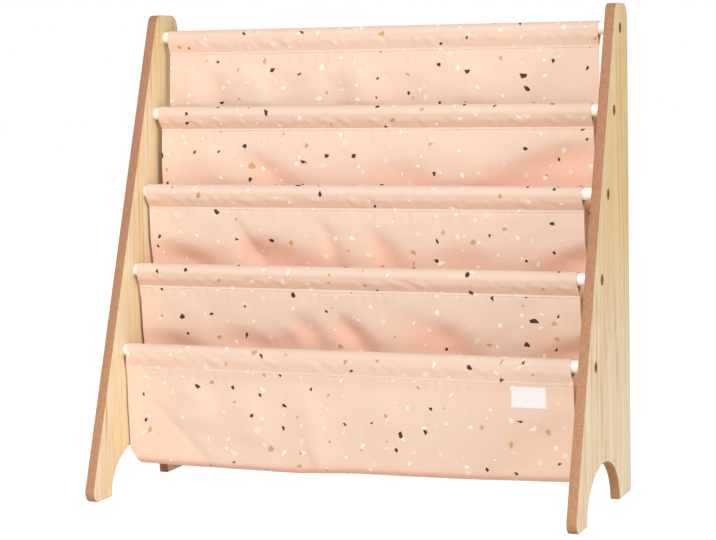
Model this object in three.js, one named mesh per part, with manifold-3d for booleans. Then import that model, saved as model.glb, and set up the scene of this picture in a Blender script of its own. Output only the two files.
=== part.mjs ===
// Sling bookshelf for a child's room: two side panels, five cross rods and a cloth sling that
// hangs between the rods as four pockets. Millimetres, +Z up. X runs across the shelf, the front
// faces -Y, and the origin is on the floor under the middle of the shelf's box.
import * as THREE from 'three';
import { mergeVertices } from 'three/addons/utils/BufferGeometryUtils.js';
import Module from 'manifold-3d';

const wasm = await Module();
wasm.setup();

// Side panels: the front edge slopes back, the rear edge is upright
const outerWidth = 630;
const panelThickness = 12;
const shelfHeight = 610;
const floorLength = 274; // rear edge to the sharp front corner that the foot's round cuts off
const topLength = 61.5; // the same along the top edge
const frontFootLength = 54;
const rearFootLength = 60;
const archHeight = 60;
const frontFootRadius = 13;
const rearFootRadius = 5;
const topFrontRadius = 13;
const topRearRadius = 18;

// Cross rods: steel tubes, counted from the top
const rodCount = 5;
const rodDiameter = 16;
const rodWall = 1.2;
const lowestRodHeight = 180;
const topRodDrop = 30; // top edge of the panel to the first rod's axis
const lowestRodSetback = 39; // level distance from the panel's front edge to the rod's axis
const topRodSetback = 34.5;

// Screws through the panels into a threaded plug in each rod end
const screwDiameter = 6;
const screwHeadDiameter = 13;
const screwHeadDepth = 3.8;
const screwHeadRim = 0.6;
const socketAcrossFlats = 4;
const socketDepth = 2.4;
const threadEngagement = 16;
const plugSpareLength = 3;
const fitClearance = 0.3;
const cutOverrun = 2;

// Cloth sling
const clothThickness = 1.2;
const clothEndGap = 11; // panel's inner face to the cloth's edge, with the cloth centred
const sleeveClearance = 0.3;
const seamDrop = 24; // rod's axis to the end of the sleeve's seam
const seamHeight = 4; // of the strip where both cloth layers lie together
const seamSetback = 2; // by which a seam hangs behind or before its rod's axis
const seamGap = 0.3;
const layerGap = 0.4;
const layerSpread = 2; // by which two layers on one rod part, lower down
const pocketFloorHeight = 31; // of the lowest pocket's turn above the floor
const pocketTurnRise = 17;
const pocketEdgeLift = 3.5; // by which a pocket's side edges ride above its middle
const clothSag = 14; // level distance that a hanging wall moves back, one rise of the rods down
const foldDepth = 5;
const pocketBelly = 9; // by which a pocket's rear wall swells back below the pocket behind it

// Sewn label on the lowest pocket
const labelWidth = 43;
const labelHeight = 25;
const labelThickness = 0.6;
const labelSideInset = 33; // from the cloth's right edge
const labelSeamInset = 3; // from the end of the seam

// Facet counts
const roundSides = 24;
const plugSides = 16;
const cornerSteps = 5;
const archSteps = 10;
const clothColumns = 24;
const wallRows = 6;
const deepRows = 3;
const turnRows = 4;
const labelColumns = 6;
const labelRows = 4;

// How far each rod's cloth has slid towards -X, as shares of clothEndGap, from the top rod down
const clothSlideShares = [0.3, 0.35, 0.7, 0.55, 0.5];

// How far each seam hangs behind its rod's axis, as shares of seamSetback, from the top rod down
const seamSetbackShares = [-1, 1, 1, 1, -1.5];

// How far each hanging wall sags back, as shares of clothSag, from the top rod down
const sagShares = [-0.2, 0, 0.6, 1.0, 0.3];
const sagRateShare = 1.6; // how soon a wall takes up its sag: a larger share bends it higher up

// Rise of a pocket's edge towards its right end, as a share of pocketEdgeLift
const edgeTiltShare = 0.35;

// Runs over which the cloth changes, as shares of the rods' rise: the layers under a seam part
// and the folds set in over the first, and the belly swells over the second
const partingShare = 0.25;
const bellyShare = 0.5;

// A fold's own course: its upper width as a share of its full width, and the shares of its length
// over which it sets in and, past its end, fades out
const foldTopWidthShare = 0.6;
const foldStartShare = 0.5;
const foldFadeShare = 0.33;

// Main folds of each hanging wall, from the top rod down. Each row gives the fold's start and end
// across the wall (shares of half its width) and down it (shares of the rods' rise), its half
// width (share of half the wall's width) and its depth (share of foldDepth, + is a hollow).
const foldShares = [
  [
    [-0.91, 0.3, -0.88, 0.85, 0.05, -0.3],
    [-0.82, 0.35, -0.76, 0.9, 0.06, 0.4],
    [-0.63, 0.3, -0.57, 0.85, 0.06, -0.35],
    [-0.38, 0.3, -0.34, 0.85, 0.05, -0.3],
    [-0.28, 0.35, -0.2, 0.9, 0.07, 0.4],
    [-0.13, 0.3, -0.07, 0.85, 0.07, -0.4],
    [0.41, 0.3, 0.45, 0.8, 0.06, -0.25],
  ],
  [
    [-0.8, 0.3, -0.72, 0.8, 0.08, -0.35],
    [-0.62, 0.3, -0.43, 0.95, 0.1, 0.85],
    [0.02, 0.5, 0.04, 0.95, 0.09, 0.35],
    [0.36, 0.5, 0.36, 0.95, 0.08, 0.3],
    [0.93, 0.35, 0.66, 0.95, 0.13, 0.9],
    [0.97, 0.3, 0.96, 0.85, 0.06, -0.4],
  ],
  [
    [-0.85, 0.45, -0.83, 1.0, 0.14, 0.85],
    [-0.66, 0.35, -0.62, 0.95, 0.06, -0.4],
    [-0.56, 0.3, -0.42, 0.95, 0.12, 1.0],
    [-0.22, 0.28, -0.12, 0.95, 0.06, 0.75],
    [-0.05, 0.3, 0.0, 0.9, 0.06, -0.35],
    [0.09, 0.28, 0.1, 0.95, 0.07, 0.8],
    [0.41, 0.5, 0.43, 1.0, 0.12, 0.6],
    [0.88, 0.5, 0.86, 1.0, 0.12, 0.6],
  ],
  [
    [-0.83, 0.5, -0.82, 1.0, 0.16, 0.85],
    [-0.41, 0.45, -0.41, 1.0, 0.13, 0.85],
    [-0.3, 0.35, -0.19, 1.0, 0.06, 0.6],
    [-0.08, 0.35, 0.04, 1.0, 0.08, 1.0],
    [0.18, 0.35, 0.4, 1.0, 0.09, 0.9],
    [0.6, 0.4, 0.62, 0.95, 0.12, -0.35],
    [0.86, 0.5, 0.84, 1.0, 0.16, 0.7],
  ],
  [
    [-0.93, 0.5, -0.62, 1.4, 0.06, 0.7],
    [-0.62, 0.35, -0.5, 1.1, 0.08, -0.35],
    [-0.2, 0.35, -0.12, 1.2, 0.09, -0.35],
    [-0.21, 0.95, -0.17, 1.5, 0.05, 0.6],
    [0.3, 0.5, 0.34, 1.4, 0.12, 0.3],
    [0.9, 0.55, 0.6, 1.4, 0.09, 0.6],
  ],
];

// Derived sizes
const innerHalfWidth = outerWidth / 2 - panelThickness;
const frontSlope = (floorLength - topLength) / shelfHeight;
const rodRadius = rodDiameter / 2;
const rodRise = (shelfHeight - topRodDrop - lowestRodHeight) / (rodCount - 1);
const pocketDepth = lowestRodHeight - pocketFloorHeight;
const clothHalfWidth = innerHalfWidth - clothEndGap;
const layerOffset = (clothThickness + layerGap) / 2;

// Reach of the front foot's round in front of the sharp corner, and the middle of the box
const frontReach = frontFootRadius * (Math.hypot(1, frontSlope) + frontSlope - 1);
const depthMiddle = (frontReach + floorLength) / 2;

const rods = [];
for (let index = 0; index < rodCount; index += 1) {
  const share = index / (rodCount - 1);
  const height = shelfHeight - topRodDrop - index * rodRise;
  const setback = topRodSetback + (lowestRodSetback - topRodSetback) * share;
  rods.push({ y: frontSlope * height + setback - depthMiddle, z: height });
}

const finishes = {
  board: new THREE.MeshStandardMaterial({ color: 0xe9cfa4, roughness: 0.55, metalness: 0 }),
  rod: new THREE.MeshStandardMaterial({ color: 0xf4f3f0, roughness: 0.3, metalness: 0.1 }),
  plug: new THREE.MeshStandardMaterial({ color: 0x2c2c2e, roughness: 0.6, metalness: 0 }),
  screw: new THREE.MeshStandardMaterial({ color: 0x5b4636, roughness: 0.4, metalness: 0.8 }),
  cloth: new THREE.MeshStandardMaterial({ color: 0xf0c9b0, roughness: 0.85, metalness: 0 }),
  label: new THREE.MeshStandardMaterial({ color: 0xf6f5f2, roughness: 0.8, metalness: 0 }),
};

const shelf = new THREE.Group();

function addPiece(name, geometry, material, x = 0, y = 0, z = 0) {
  const piece = new THREE.Mesh(geometry, material);
  piece.name = name;
  piece.position.set(x, y, z);
  shelf.add(piece);
}

// Mesh and solid, there and back, for cuts
function toSolid(geometry) {
  geometry.deleteAttribute('normal');
  geometry.deleteAttribute('uv');
  const merged = mergeVertices(geometry);
  const vertProperties = Float32Array.from(merged.attributes.position.array);
  const triVerts = Uint32Array.from(merged.index.array);
  return new wasm.Manifold(new wasm.Mesh({ numProp: 3, vertProperties, triVerts }));
}

function toGeometry(solid) {
  const mesh = solid.getMesh();
  const geometry = new THREE.BufferGeometry();
  geometry.setAttribute('position', new THREE.BufferAttribute(mesh.vertProperties, 3));
  geometry.setIndex(new THREE.BufferAttribute(mesh.triVerts, 1));
  return geometry;
}

// A side outline, drawn with y across and z up, extruded along X
function extrudeAcross(outline, length, curveSegments) {
  const geometry = new THREE.ExtrudeGeometry(outline, {
    depth: length,
    bevelEnabled: false,
    curveSegments,
  });
  const sideToFront = new THREE.Matrix4().makeBasis(
    new THREE.Vector3(0, 1, 0),
    new THREE.Vector3(0, 0, 1),
    new THREE.Vector3(1, 0, 0),
  );
  return geometry.applyMatrix4(sideToFront);
}

// A profile of [radius, distance along the axis] turned about X; side -1 points it to -X
function turnAcross(profile, side, sides = roundSides) {
  const points = profile.map(([radius, along]) => new THREE.Vector2(radius, along));
  const geometry = new THREE.LatheGeometry(points, sides);
  return geometry.rotateZ((-side * Math.PI) / 2);
}

// Rounds one corner of an outline: a straight run up to the arc, then the arc itself
function roundCorner(outline, before, corner, after, radius) {
  const toBefore = before.clone().sub(corner).normalize();
  const toAfter = after.clone().sub(corner).normalize();
  const halfAngle = Math.acos(toBefore.dot(toAfter)) / 2;
  const tangent = radius / Math.tan(halfAngle);
  const start = corner.clone().addScaledVector(toBefore, tangent);
  const end = corner.clone().addScaledVector(toAfter, tangent);
  const toCentre = toBefore.clone().add(toAfter).normalize();
  const centre = corner.clone().addScaledVector(toCentre, radius / Math.sin(halfAngle));
  const startAngle = Math.atan2(start.y - centre.y, start.x - centre.x);
  const sweep = Math.PI - 2 * halfAngle;
  outline.lineTo(start.x, start.y);
  for (let step = 1; step < cornerSteps; step += 1) {
    const angle = startAngle + (sweep * step) / cornerSteps;
    outline.lineTo(centre.x + radius * Math.cos(angle), centre.y + radius * Math.sin(angle));
  }
  outline.lineTo(end.x, end.y);
}

// Side panels
const archStart = frontFootLength - depthMiddle;
const archEnd = floorLength - rearFootLength - depthMiddle;
const archMiddle = (archStart + archEnd) / 2;

function panelOutline() {
  const rearY = floorLength - depthMiddle;
  const frontFoot = new THREE.Vector2(-depthMiddle, 0);
  const rearFoot = new THREE.Vector2(rearY, 0);
  const topRear = new THREE.Vector2(rearY, shelfHeight);
  const topFront = new THREE.Vector2(rearY - topLength, shelfHeight);
  const outline = new THREE.Shape();
  outline.moveTo(archMiddle, archHeight);
  outline.absellipse(archMiddle, 0, (archEnd - archStart) / 2, archHeight, Math.PI / 2, 0, true);
  roundCorner(outline, frontFoot, rearFoot, topRear, rearFootRadius);
  roundCorner(outline, rearFoot, topRear, topFront, topRearRadius);
  roundCorner(outline, topRear, topFront, frontFoot, topFrontRadius);
  roundCorner(outline, topFront, frontFoot, rearFoot, frontFootRadius);
  outline.lineTo(archStart, 0);
  outline.absellipse(archMiddle, 0, (archEnd - archStart) / 2, archHeight, Math.PI, Math.PI / 2, true);
  return outline;
}

// Through hole with a countersink that opens on the panel's outer face
function screwHoleProfile() {
  const shank = screwDiameter / 2 + fitClearance;
  const head = screwHeadDiameter / 2 + fitClearance;
  return [
    [0, -panelThickness - cutOverrun],
    [shank, -panelThickness - cutOverrun],
    [shank, -screwHeadDepth],
    [head, -screwHeadRim],
    [head, cutOverrun],
    [0, cutOverrun],
  ];
}

function sidePanel(side) {
  const slab = extrudeAcross(panelOutline(), panelThickness, archSteps);
  slab.translate(side > 0 ? 0 : -panelThickness, 0, 0);
  let solid = toSolid(slab);
  for (const rod of rods) {
    const tool = turnAcross(screwHoleProfile(), side);
    tool.translate(side * panelThickness, rod.y, rod.z);
    solid = solid.subtract(toSolid(tool));
  }
  return toGeometry(solid);
}

const sides = [
  { name: 'left', direction: -1 },
  { name: 'right', direction: 1 },
];

for (const side of sides) {
  addPiece(
    `side_panel_${side.name}`,
    sidePanel(side.direction),
    finishes.board,
    side.direction * innerHalfWidth,
  );
}

// Cross rods, the threaded plug in each end, and the screws
function ringProfile(innerRadius, outerRadius, low, high) {
  return [
    [innerRadius, low],
    [outerRadius, low],
    [outerRadius, high],
    [innerRadius, high],
    [innerRadius, low],
  ];
}

function plugGeometry(side) {
  const plugLength = threadEngagement + plugSpareLength;
  const bore = screwDiameter / 2 + fitClearance;
  const outerRadius = rodRadius - rodWall - fitClearance;
  return turnAcross(ringProfile(bore, outerRadius, -plugLength, 0), side, plugSides);
}

function screwGeometry(side) {
  const shank = screwDiameter / 2;
  const head = screwHeadDiameter / 2;
  const length = panelThickness + threadEngagement;
  const body = turnAcross(
    [
      [0, -length],
      [shank, -length],
      [shank, -screwHeadDepth],
      [head, -screwHeadRim],
      [head, 0],
      [0, 0],
    ],
    side,
  );
  const socketRadius = socketAcrossFlats / Math.sqrt(3);
  const socket = turnAcross(
    [
      [0, -socketDepth],
      [socketRadius, -socketDepth],
      [socketRadius, cutOverrun],
      [0, cutOverrun],
    ],
    side,
    6,
  );
  return toGeometry(toSolid(body).subtract(toSolid(socket)));
}

rods.forEach((rod, index) => {
  const number = index + 1;
  const tube = ringProfile(rodRadius - rodWall, rodRadius, -innerHalfWidth, innerHalfWidth);
  addPiece(`cross_rod_${number}`, turnAcross(tube, 1), finishes.rod, 0, rod.y, rod.z);
  for (const side of sides) {
    const { name, direction } = side;
    const plugX = direction * innerHalfWidth;
    const screwX = direction * (outerWidth / 2);
    addPiece(`rod_plug_${name}_${number}`, plugGeometry(direction), finishes.plug, plugX, rod.y, rod.z);
    addPiece(
      `panel_screw_${name}_${number}`,
      screwGeometry(direction),
      finishes.screw,
      screwX,
      rod.y,
      rod.z,
    );
  }
});

// Rod sleeves: cloth round the rod, drawn together at the seam below it. A teardrop of the given
// radius is an arc closed by two straight runs, both tangent to it, that meet the given drop
// below the rod's axis, half a flat's width to either side.
function teardrop(path, radius, drop, halfFlat) {
  const reach = Math.hypot(drop, halfFlat);
  const tangentAngle = Math.acos(radius / reach) + Math.atan2(halfFlat, drop);
  const start = -Math.PI / 2 + tangentAngle;
  const sweep = 2 * (Math.PI - tangentAngle);
  path.moveTo(halfFlat, -drop);
  for (let step = 0; step <= roundSides / 2; step += 1) {
    const angle = start + (sweep * step) / (roundSides / 2);
    path.lineTo(radius * Math.cos(angle), radius * Math.sin(angle));
  }
  if (halfFlat > 0) {
    path.lineTo(-halfFlat, -drop);
  }
}

function seamOffset(rodIndex) {
  return seamSetbackShares[rodIndex] * seamSetback;
}

function sleeveGeometry(rodIndex) {
  const innerRadius = rodRadius + sleeveClearance;
  const outline = new THREE.Shape();
  teardrop(outline, innerRadius + clothThickness, seamDrop, layerOffset + clothThickness / 2);
  const hollow = new THREE.Path();
  teardrop(hollow, innerRadius, seamDrop - seamHeight, 0);
  outline.holes.push(hollow);
  const lean = Math.asin(seamOffset(rodIndex) / seamDrop);
  return extrudeAcross(outline, 2 * clothHalfWidth, 1).rotateX(lean);
}

function clothMiddle(rodIndex) {
  return -clothSlideShares[rodIndex] * clothEndGap;
}

rods.forEach((rod, index) => {
  const x = clothMiddle(index) - clothHalfWidth;
  addPiece(`rod_sleeve_${index + 1}`, sleeveGeometry(index), finishes.cloth, x, rod.y, rod.z);
});

// Pocket cloths
function smoothStep(value) {
  const share = Math.min(Math.max(value, 0), 1);
  return share * share * (3 - 2 * share);
}

// One fold: a bell-shaped ridge or hollow that slants across the wall and widens on its way down
function foldOffset(fold, across, drop) {
  const [startAcross, startDrop, endAcross, endDrop, width, depth] = fold;
  const along = (drop / rodRise - startDrop) / (endDrop - startDrop);
  const middle = startAcross + (endAcross - startAcross) * along;
  const spread = width * (foldTopWidthShare + (1 - foldTopWidthShare) * smoothStep(along));
  const bell = Math.exp(-(((across - middle) / spread) ** 2));
  const window = smoothStep(along / foldStartShare) * (1 - smoothStep((along - 1) / foldFadeShare));
  return depth * foldDepth * bell * window;
}

// Level offset of the wall that hangs from one rod, back from the rod's axis
function wallOffset(rodIndex, across, drop) {
  const below = (drop - seamDrop) / rodRise;
  const settled = (1 - Math.exp(-sagRateShare * below)) / (1 - Math.exp(-sagRateShare));
  let offset = seamOffset(rodIndex) + sagShares[rodIndex] * clothSag * settled;
  for (const fold of foldShares[rodIndex]) {
    offset += foldOffset(fold, across, drop) * smoothStep(below / partingShare);
  }
  return offset;
}

// Height that a pocket's turn gains towards the cloth's side edges
function edgeLift(across) {
  return pocketEdgeLift * across * across * (1 + edgeTiltShare * across);
}

// Where the rear (side -1) or front (side 1) wall of a pocket is, at one drop below its own rod
function wallPoint(pocket, side, across, drop) {
  const rodIndex = side < 0 ? pocket : pocket + 1;
  const rod = rods[rodIndex];
  const parting = side > 0 && rodIndex < rodCount - 1 ? layerSpread : 0;
  const spread = layerOffset + parting * smoothStep((drop - seamDrop) / (partingShare * rodRise));
  const belly = side < 0 ? pocketBelly : 0;
  const swell = belly * smoothStep((drop - pocketDepth) / (bellyShare * rodRise));
  const y = rod.y + wallOffset(rodIndex, across, drop) + swell + side * spread;
  return new THREE.Vector3(0, y, rod.z - drop);
}

// The cloth's middle surface: down the rear wall, round the turn, up the front wall. The two walls
// that hang from one rod share their columns, so that they stay apart by layerGap or more.
function pocketGrid(pocket) {
  const wallTop = seamDrop + seamGap;
  const rows = [];
  const rowCount = 2 * wallRows + deepRows + turnRows;
  for (let row = 0; row <= rowCount; row += 1) {
    rows.push([]);
  }
  for (let column = 0; column <= clothColumns; column += 1) {
    const across = (2 * column) / clothColumns - 1;
    const turnDrop = pocketDepth - pocketTurnRise - edgeLift(across);
    const line = [];
    for (let row = 0; row <= wallRows; row += 1) {
      const drop = wallTop + ((turnDrop - wallTop) * row) / wallRows;
      line.push(wallPoint(pocket, -1, across, drop));
    }
    for (let row = 1; row <= deepRows; row += 1) {
      line.push(wallPoint(pocket, -1, across, turnDrop + (rodRise * row) / deepRows));
    }
    const rearEnd = line[line.length - 1];
    const frontEnd = wallPoint(pocket, 1, across, turnDrop);
    for (let row = 1; row < turnRows; row += 1) {
      const angle = (Math.PI * row) / turnRows;
      const y = (rearEnd.y + frontEnd.y) / 2 + ((rearEnd.y - frontEnd.y) / 2) * Math.cos(angle);
      line.push(new THREE.Vector3(0, y, rearEnd.z - pocketTurnRise * Math.sin(angle)));
    }
    for (let row = wallRows; row >= 0; row -= 1) {
      const drop = wallTop + ((turnDrop - wallTop) * row) / wallRows;
      line.push(wallPoint(pocket, 1, across, drop));
    }
    line.forEach((point, row) => {
      const share = Math.min(Math.max((row - wallRows) / (deepRows + turnRows), 0), 1);
      const middle = clothMiddle(pocket) * (1 - share) + clothMiddle(pocket + 1) * share;
      point.x = middle + across * clothHalfWidth;
      rows[row].push(point);
    });
  }
  return rows;
}

// Unit normal of a grid at one of its points
function gridNormal(grid, row, column) {
  const lastRow = grid.length - 1;
  const lastColumn = grid[0].length - 1;
  const above = grid[Math.max(row - 1, 0)][column];
  const below = grid[Math.min(row + 1, lastRow)][column];
  const left = grid[row][Math.max(column - 1, 0)];
  const right = grid[row][Math.min(column + 1, lastColumn)];
  const along = new THREE.Vector3().subVectors(below, above);
  const over = new THREE.Vector3().subVectors(right, left);
  return along.cross(over).normalize();
}

// A closed sheet of the given thickness about a grid of points
function sheetGeometry(grid, thickness) {
  const rowCount = grid.length;
  const columnCount = grid[0].length;
  const positions = [];
  for (const side of [0.5, -0.5]) {
    for (let row = 0; row < rowCount; row += 1) {
      for (let column = 0; column < columnCount; column += 1) {
        const normal = gridNormal(grid, row, column);
        const point = grid[row][column].clone().addScaledVector(normal, side * thickness);
        positions.push(point.x, point.y, point.z);
      }
    }
  }
  const far = rowCount * columnCount;
  const at = (row, column) => row * columnCount + column;
  const triangles = [];
  const addQuad = (a, b, c, d) => triangles.push(a, b, c, a, c, d);
  for (let row = 0; row < rowCount - 1; row += 1) {
    for (let column = 0; column < columnCount - 1; column += 1) {
      const quad = [at(row, column), at(row + 1, column), at(row + 1, column + 1), at(row, column + 1)];
      addQuad(...quad);
      addQuad(...quad.reverse().map((corner) => corner + far));
    }
  }
  const rim = [];
  for (let row = 0; row < rowCount - 1; row += 1) {
    rim.push([at(row + 1, 0), at(row, 0)]);
    rim.push([at(row, columnCount - 1), at(row + 1, columnCount - 1)]);
  }
  for (let column = 0; column < columnCount - 1; column += 1) {
    rim.push([at(0, column), at(0, column + 1)]);
    rim.push([at(rowCount - 1, column + 1), at(rowCount - 1, column)]);
  }
  for (const [start, end] of rim) {
    addQuad(start, end, end + far, start + far);
  }
  const geometry = new THREE.BufferGeometry();
  geometry.setAttribute('position', new THREE.Float32BufferAttribute(positions, 3));
  geometry.setIndex(triangles);
  return geometry;
}

const pocketGrids = [];
for (let pocket = 0; pocket < rodCount - 1; pocket += 1) {
  pocketGrids.push(pocketGrid(pocket));
  addPiece(`pocket_${pocket + 1}`, sheetGeometry(pocketGrids[pocket], clothThickness), finishes.cloth);
}

// Sewn label, laid on the front wall of the lowest pocket
function gridPoint(grid, rowShare, columnShare) {
  const row = Math.floor(rowShare);
  const column = Math.floor(columnShare);
  const upper = grid[row][column].clone().lerp(grid[row][column + 1], columnShare - column);
  const lower = grid[row + 1][column].clone().lerp(grid[row + 1][column + 1], columnShare - column);
  return upper.lerp(lower, rowShare - row);
}

function labelGrid() {
  const grid = pocketGrids[rodCount - 2];
  const wallTop = seamDrop + seamGap;
  const lift = clothThickness / 2 + layerGap + labelThickness / 2;
  const rightEdge = clothHalfWidth - labelSideInset;
  const rows = [];
  for (let row = 0; row <= labelRows; row += 1) {
    const drop = seamDrop + labelSeamInset + (labelHeight * (labelRows - row)) / labelRows;
    const line = [];
    for (let column = 0; column <= labelColumns; column += 1) {
      const across = (rightEdge - labelWidth + (labelWidth * column) / labelColumns) / clothHalfWidth;
      const turnDrop = pocketDepth - pocketTurnRise - edgeLift(across);
      const rowShare = grid.length - 1 - (wallRows * (drop - wallTop)) / (turnDrop - wallTop);
      const point = gridPoint(grid, rowShare, ((across + 1) / 2) * clothColumns);
      point.y -= lift;
      line.push(point);
    }
    rows.push(line);
  }
  return rows;
}

addPiece('sewn_label', sheetGeometry(labelGrid(), labelThickness), finishes.label);

export default shelf;
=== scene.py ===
"""Dressed model of a child's sling bookshelf: laminated boards, white rods, screws and hung cloth."""
import logging
import math
from dataclasses import dataclass
from enum import Enum

import bmesh
import bpy
import numpy as np
from mathutils import Matrix, Vector
from mathutils.geometry import delaunay_2d_cdt


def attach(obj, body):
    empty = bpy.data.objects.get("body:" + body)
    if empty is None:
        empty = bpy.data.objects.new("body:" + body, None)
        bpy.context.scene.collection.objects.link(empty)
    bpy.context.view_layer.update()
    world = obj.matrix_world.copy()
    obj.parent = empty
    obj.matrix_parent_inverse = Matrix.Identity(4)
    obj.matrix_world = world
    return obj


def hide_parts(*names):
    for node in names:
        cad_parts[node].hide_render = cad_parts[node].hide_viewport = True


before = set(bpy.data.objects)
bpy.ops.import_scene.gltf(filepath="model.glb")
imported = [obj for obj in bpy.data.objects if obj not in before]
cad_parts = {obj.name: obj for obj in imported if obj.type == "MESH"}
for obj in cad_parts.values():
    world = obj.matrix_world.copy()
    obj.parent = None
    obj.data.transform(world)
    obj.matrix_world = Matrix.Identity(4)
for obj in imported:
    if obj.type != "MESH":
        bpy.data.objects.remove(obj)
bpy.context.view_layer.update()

LOG = logging.getLogger("bookshelf")
MM = 0.001
BODY = "root"
CLOTH_UV = "cloth"
PAINTED_SHADE = "painted_shade"
MID_GREY = (0.5, 0.5, 0.5)
WHITE = (1.0, 1.0, 1.0, 1.0)

Array = np.ndarray
Pair = tuple[float, float]
Colour = tuple[float, float, float, float]
Piece = bpy.types.Object
Material = bpy.types.Material
Materials = dict[str, Material]
Tree = bpy.types.NodeTree
Groups = dict[str, Tree]
Socket = bpy.types.NodeSocket
Sockets = bpy.types.bpy_prop_collection
# What feeds a shader socket: another socket, a plain value, or None to leave it alone
Value = Socket | float | tuple[float, ...] | None


class Side(Enum):
    """The two ends of the shelf, with the sign of X on each."""

    LEFT = -1
    RIGHT = 1

    @property
    def label(self) -> str:
        """Name part used by the pieces of this side."""
        return self.name.lower()


class Wall(Enum):
    """The two walls of a pocket, with the sign of the layer's place behind its rod's seam."""

    REAR = -1
    FRONT = 1


def srgb(red: float, green: float, blue: float) -> Colour:
    """Linear colour of a display colour.

    A dark share of full light is divided by 12.92. Any other is raised by 0.055, divided by 1.055
    and taken to the power 2.4.

    Args:
        red, green, blue: the display colour, each from 0 to 255.

    Returns:
        The linear colour with full opacity.
    """
    share = np.array([red, green, blue]) / 255.0
    linear = np.where(share <= 0.04045, share / 12.92, ((share + 0.055) / 1.055) ** 2.4)
    return (float(linear[0]), float(linear[1]), float(linear[2]), 1.0)


def smooth_step(value: Array | float) -> Array:
    """Smooth rise from 0 to 1 while value goes from 0 to 1: share squared times (3 - 2 share)."""
    share = np.clip(value, 0.0, 1.0)
    return share * share * (3.0 - 2.0 * share)


# Meshes
def quad_grid(rows: int, columns: int, wrap_rows: bool = False, wrap_columns: bool = False) -> Array:
    """Quads that join a grid of points, numbered row by row.

    Args:
        rows, columns: how many points the grid has each way.
        wrap_rows: whether the last row joins the first again.
        wrap_columns: whether the last column joins the first again.

    Returns:
        An array of four point numbers for each quad.
    """
    row = np.arange(rows if wrap_rows else rows - 1)
    column = np.arange(columns if wrap_columns else columns - 1)
    row_here, column_here = np.meshgrid(row, column, indexing="ij")
    row_next, column_next = (row_here + 1) % rows, (column_here + 1) % columns
    corners = [
        row_here * columns + column_here,
        row_next * columns + column_here,
        row_next * columns + column_next,
        row_here * columns + column_next,
    ]
    return np.stack([corner.ravel() for corner in corners], axis=1)


def make_mesh(
    name: str,
    points: Array,
    blocks: list[Array],
    materials: list[Material],
    slots: list[int] | None = None,
) -> Piece:
    """Makes a smooth-shaded mesh object whose place is in its points.

    Args:
        name: the object's name.
        points: the points in metres.
        blocks: arrays with a row of point numbers for each face.
        materials: the materials of the object's slots.
        slots: the number of each block's material; all 0 if left out.

    Returns:
        The new object, linked to the scene.
    """
    mesh = bpy.data.meshes.new(name)
    faces = [face for block in blocks for face in block.tolist()]
    mesh.from_pydata(points.tolist(), [], faces)
    for material in materials:
        mesh.materials.append(material)
    if slots is not None:
        numbers = np.repeat(slots, [len(block) for block in blocks])
        mesh.polygons.foreach_set("material_index", numbers.astype(np.int32))
    mesh.polygons.foreach_set("use_smooth", np.ones(len(faces), dtype=bool))
    mesh.update()
    piece = bpy.data.objects.new(name, mesh)
    bpy.context.scene.collection.objects.link(piece)
    return piece


def weld(piece: Piece, distance: float = 1e-6) -> None:
    """Merges the doubled points where the stretches of one mesh meet.

    Args:
        piece: the mesh object.
        distance: how near two points have to be.
    """
    work = bmesh.new()
    work.from_mesh(piece.data)
    bmesh.ops.remove_doubles(work, verts=work.verts, dist=distance)
    bmesh.ops.recalc_face_normals(work, faces=work.faces)
    work.to_mesh(piece.data)
    work.free()


def length_along(points: Array) -> Array:
    """Distance of each point from the first one, measured along the line of points."""
    steps = np.linalg.norm(np.diff(points, axis=0), axis=1)
    return np.concatenate([[0], np.cumsum(steps)])


def set_uv(piece: Piece, places: Array) -> None:
    """Gives a piece the UV map of its cloth, in metres.

    Args:
        piece: the mesh object.
        places: for each point of the mesh, its place on the flat cloth.
    """
    layer = piece.data.uv_layers.new(name=CLOTH_UV)
    corner_points = np.empty(len(piece.data.loops), dtype=np.int32)
    piece.data.loops.foreach_get("vertex_index", corner_points)
    layer.data.foreach_set("uv", places[corner_points].astype(np.float32).ravel())


def keep_corners_sharp(piece: Piece, degrees: float) -> None:
    """Splits the shading where two faces meet at more than the given angle."""
    piece.data.set_sharp_from_angle(angle=math.radians(degrees))


def install(piece: Piece, slot: str, *nodes: str) -> Piece:
    """Makes a piece ride on the shelf and hides what it stands for.

    Args:
        piece: the new piece.
        slot: the record's material slot; not used.
        nodes: the CAD nodes that the piece replaces.

    Returns:
        The piece.
    """
    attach(piece, BODY)
    if nodes:
        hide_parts(*nodes)
    stands_for = ", ".join(nodes) or "itself"
    LOG.info("%s: %d points, stands for %s", piece.name, len(piece.data.vertices), stands_for)
    return piece


def turned(profile: Array, centre: Vector, direction: int, steps: int) -> Array:
    """A profile turned about an axis along X.

    A point at radius r and reach a goes round the circle (r cos t, r sin t) in y and z, at a along X.

    Args:
        profile: rows of (radius, reach along the axis).
        centre: the axis's point at reach 0.
        direction: 1 if the reach runs to +X, -1 if it runs to -X.
        steps: points round the circle.

    Returns:
        The points, one row of the grid for each row of the profile.
    """
    angle = 2.0 * math.pi * np.arange(steps) / steps
    radius, reach = profile[:, :1], profile[:, 1:]
    points = np.empty((len(profile), steps, 3))
    points[:, :, 0] = centre.x + direction * reach
    points[:, :, 1] = centre.y + radius * np.cos(angle) * direction
    points[:, :, 2] = centre.z + radius * np.sin(angle)
    return points


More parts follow.
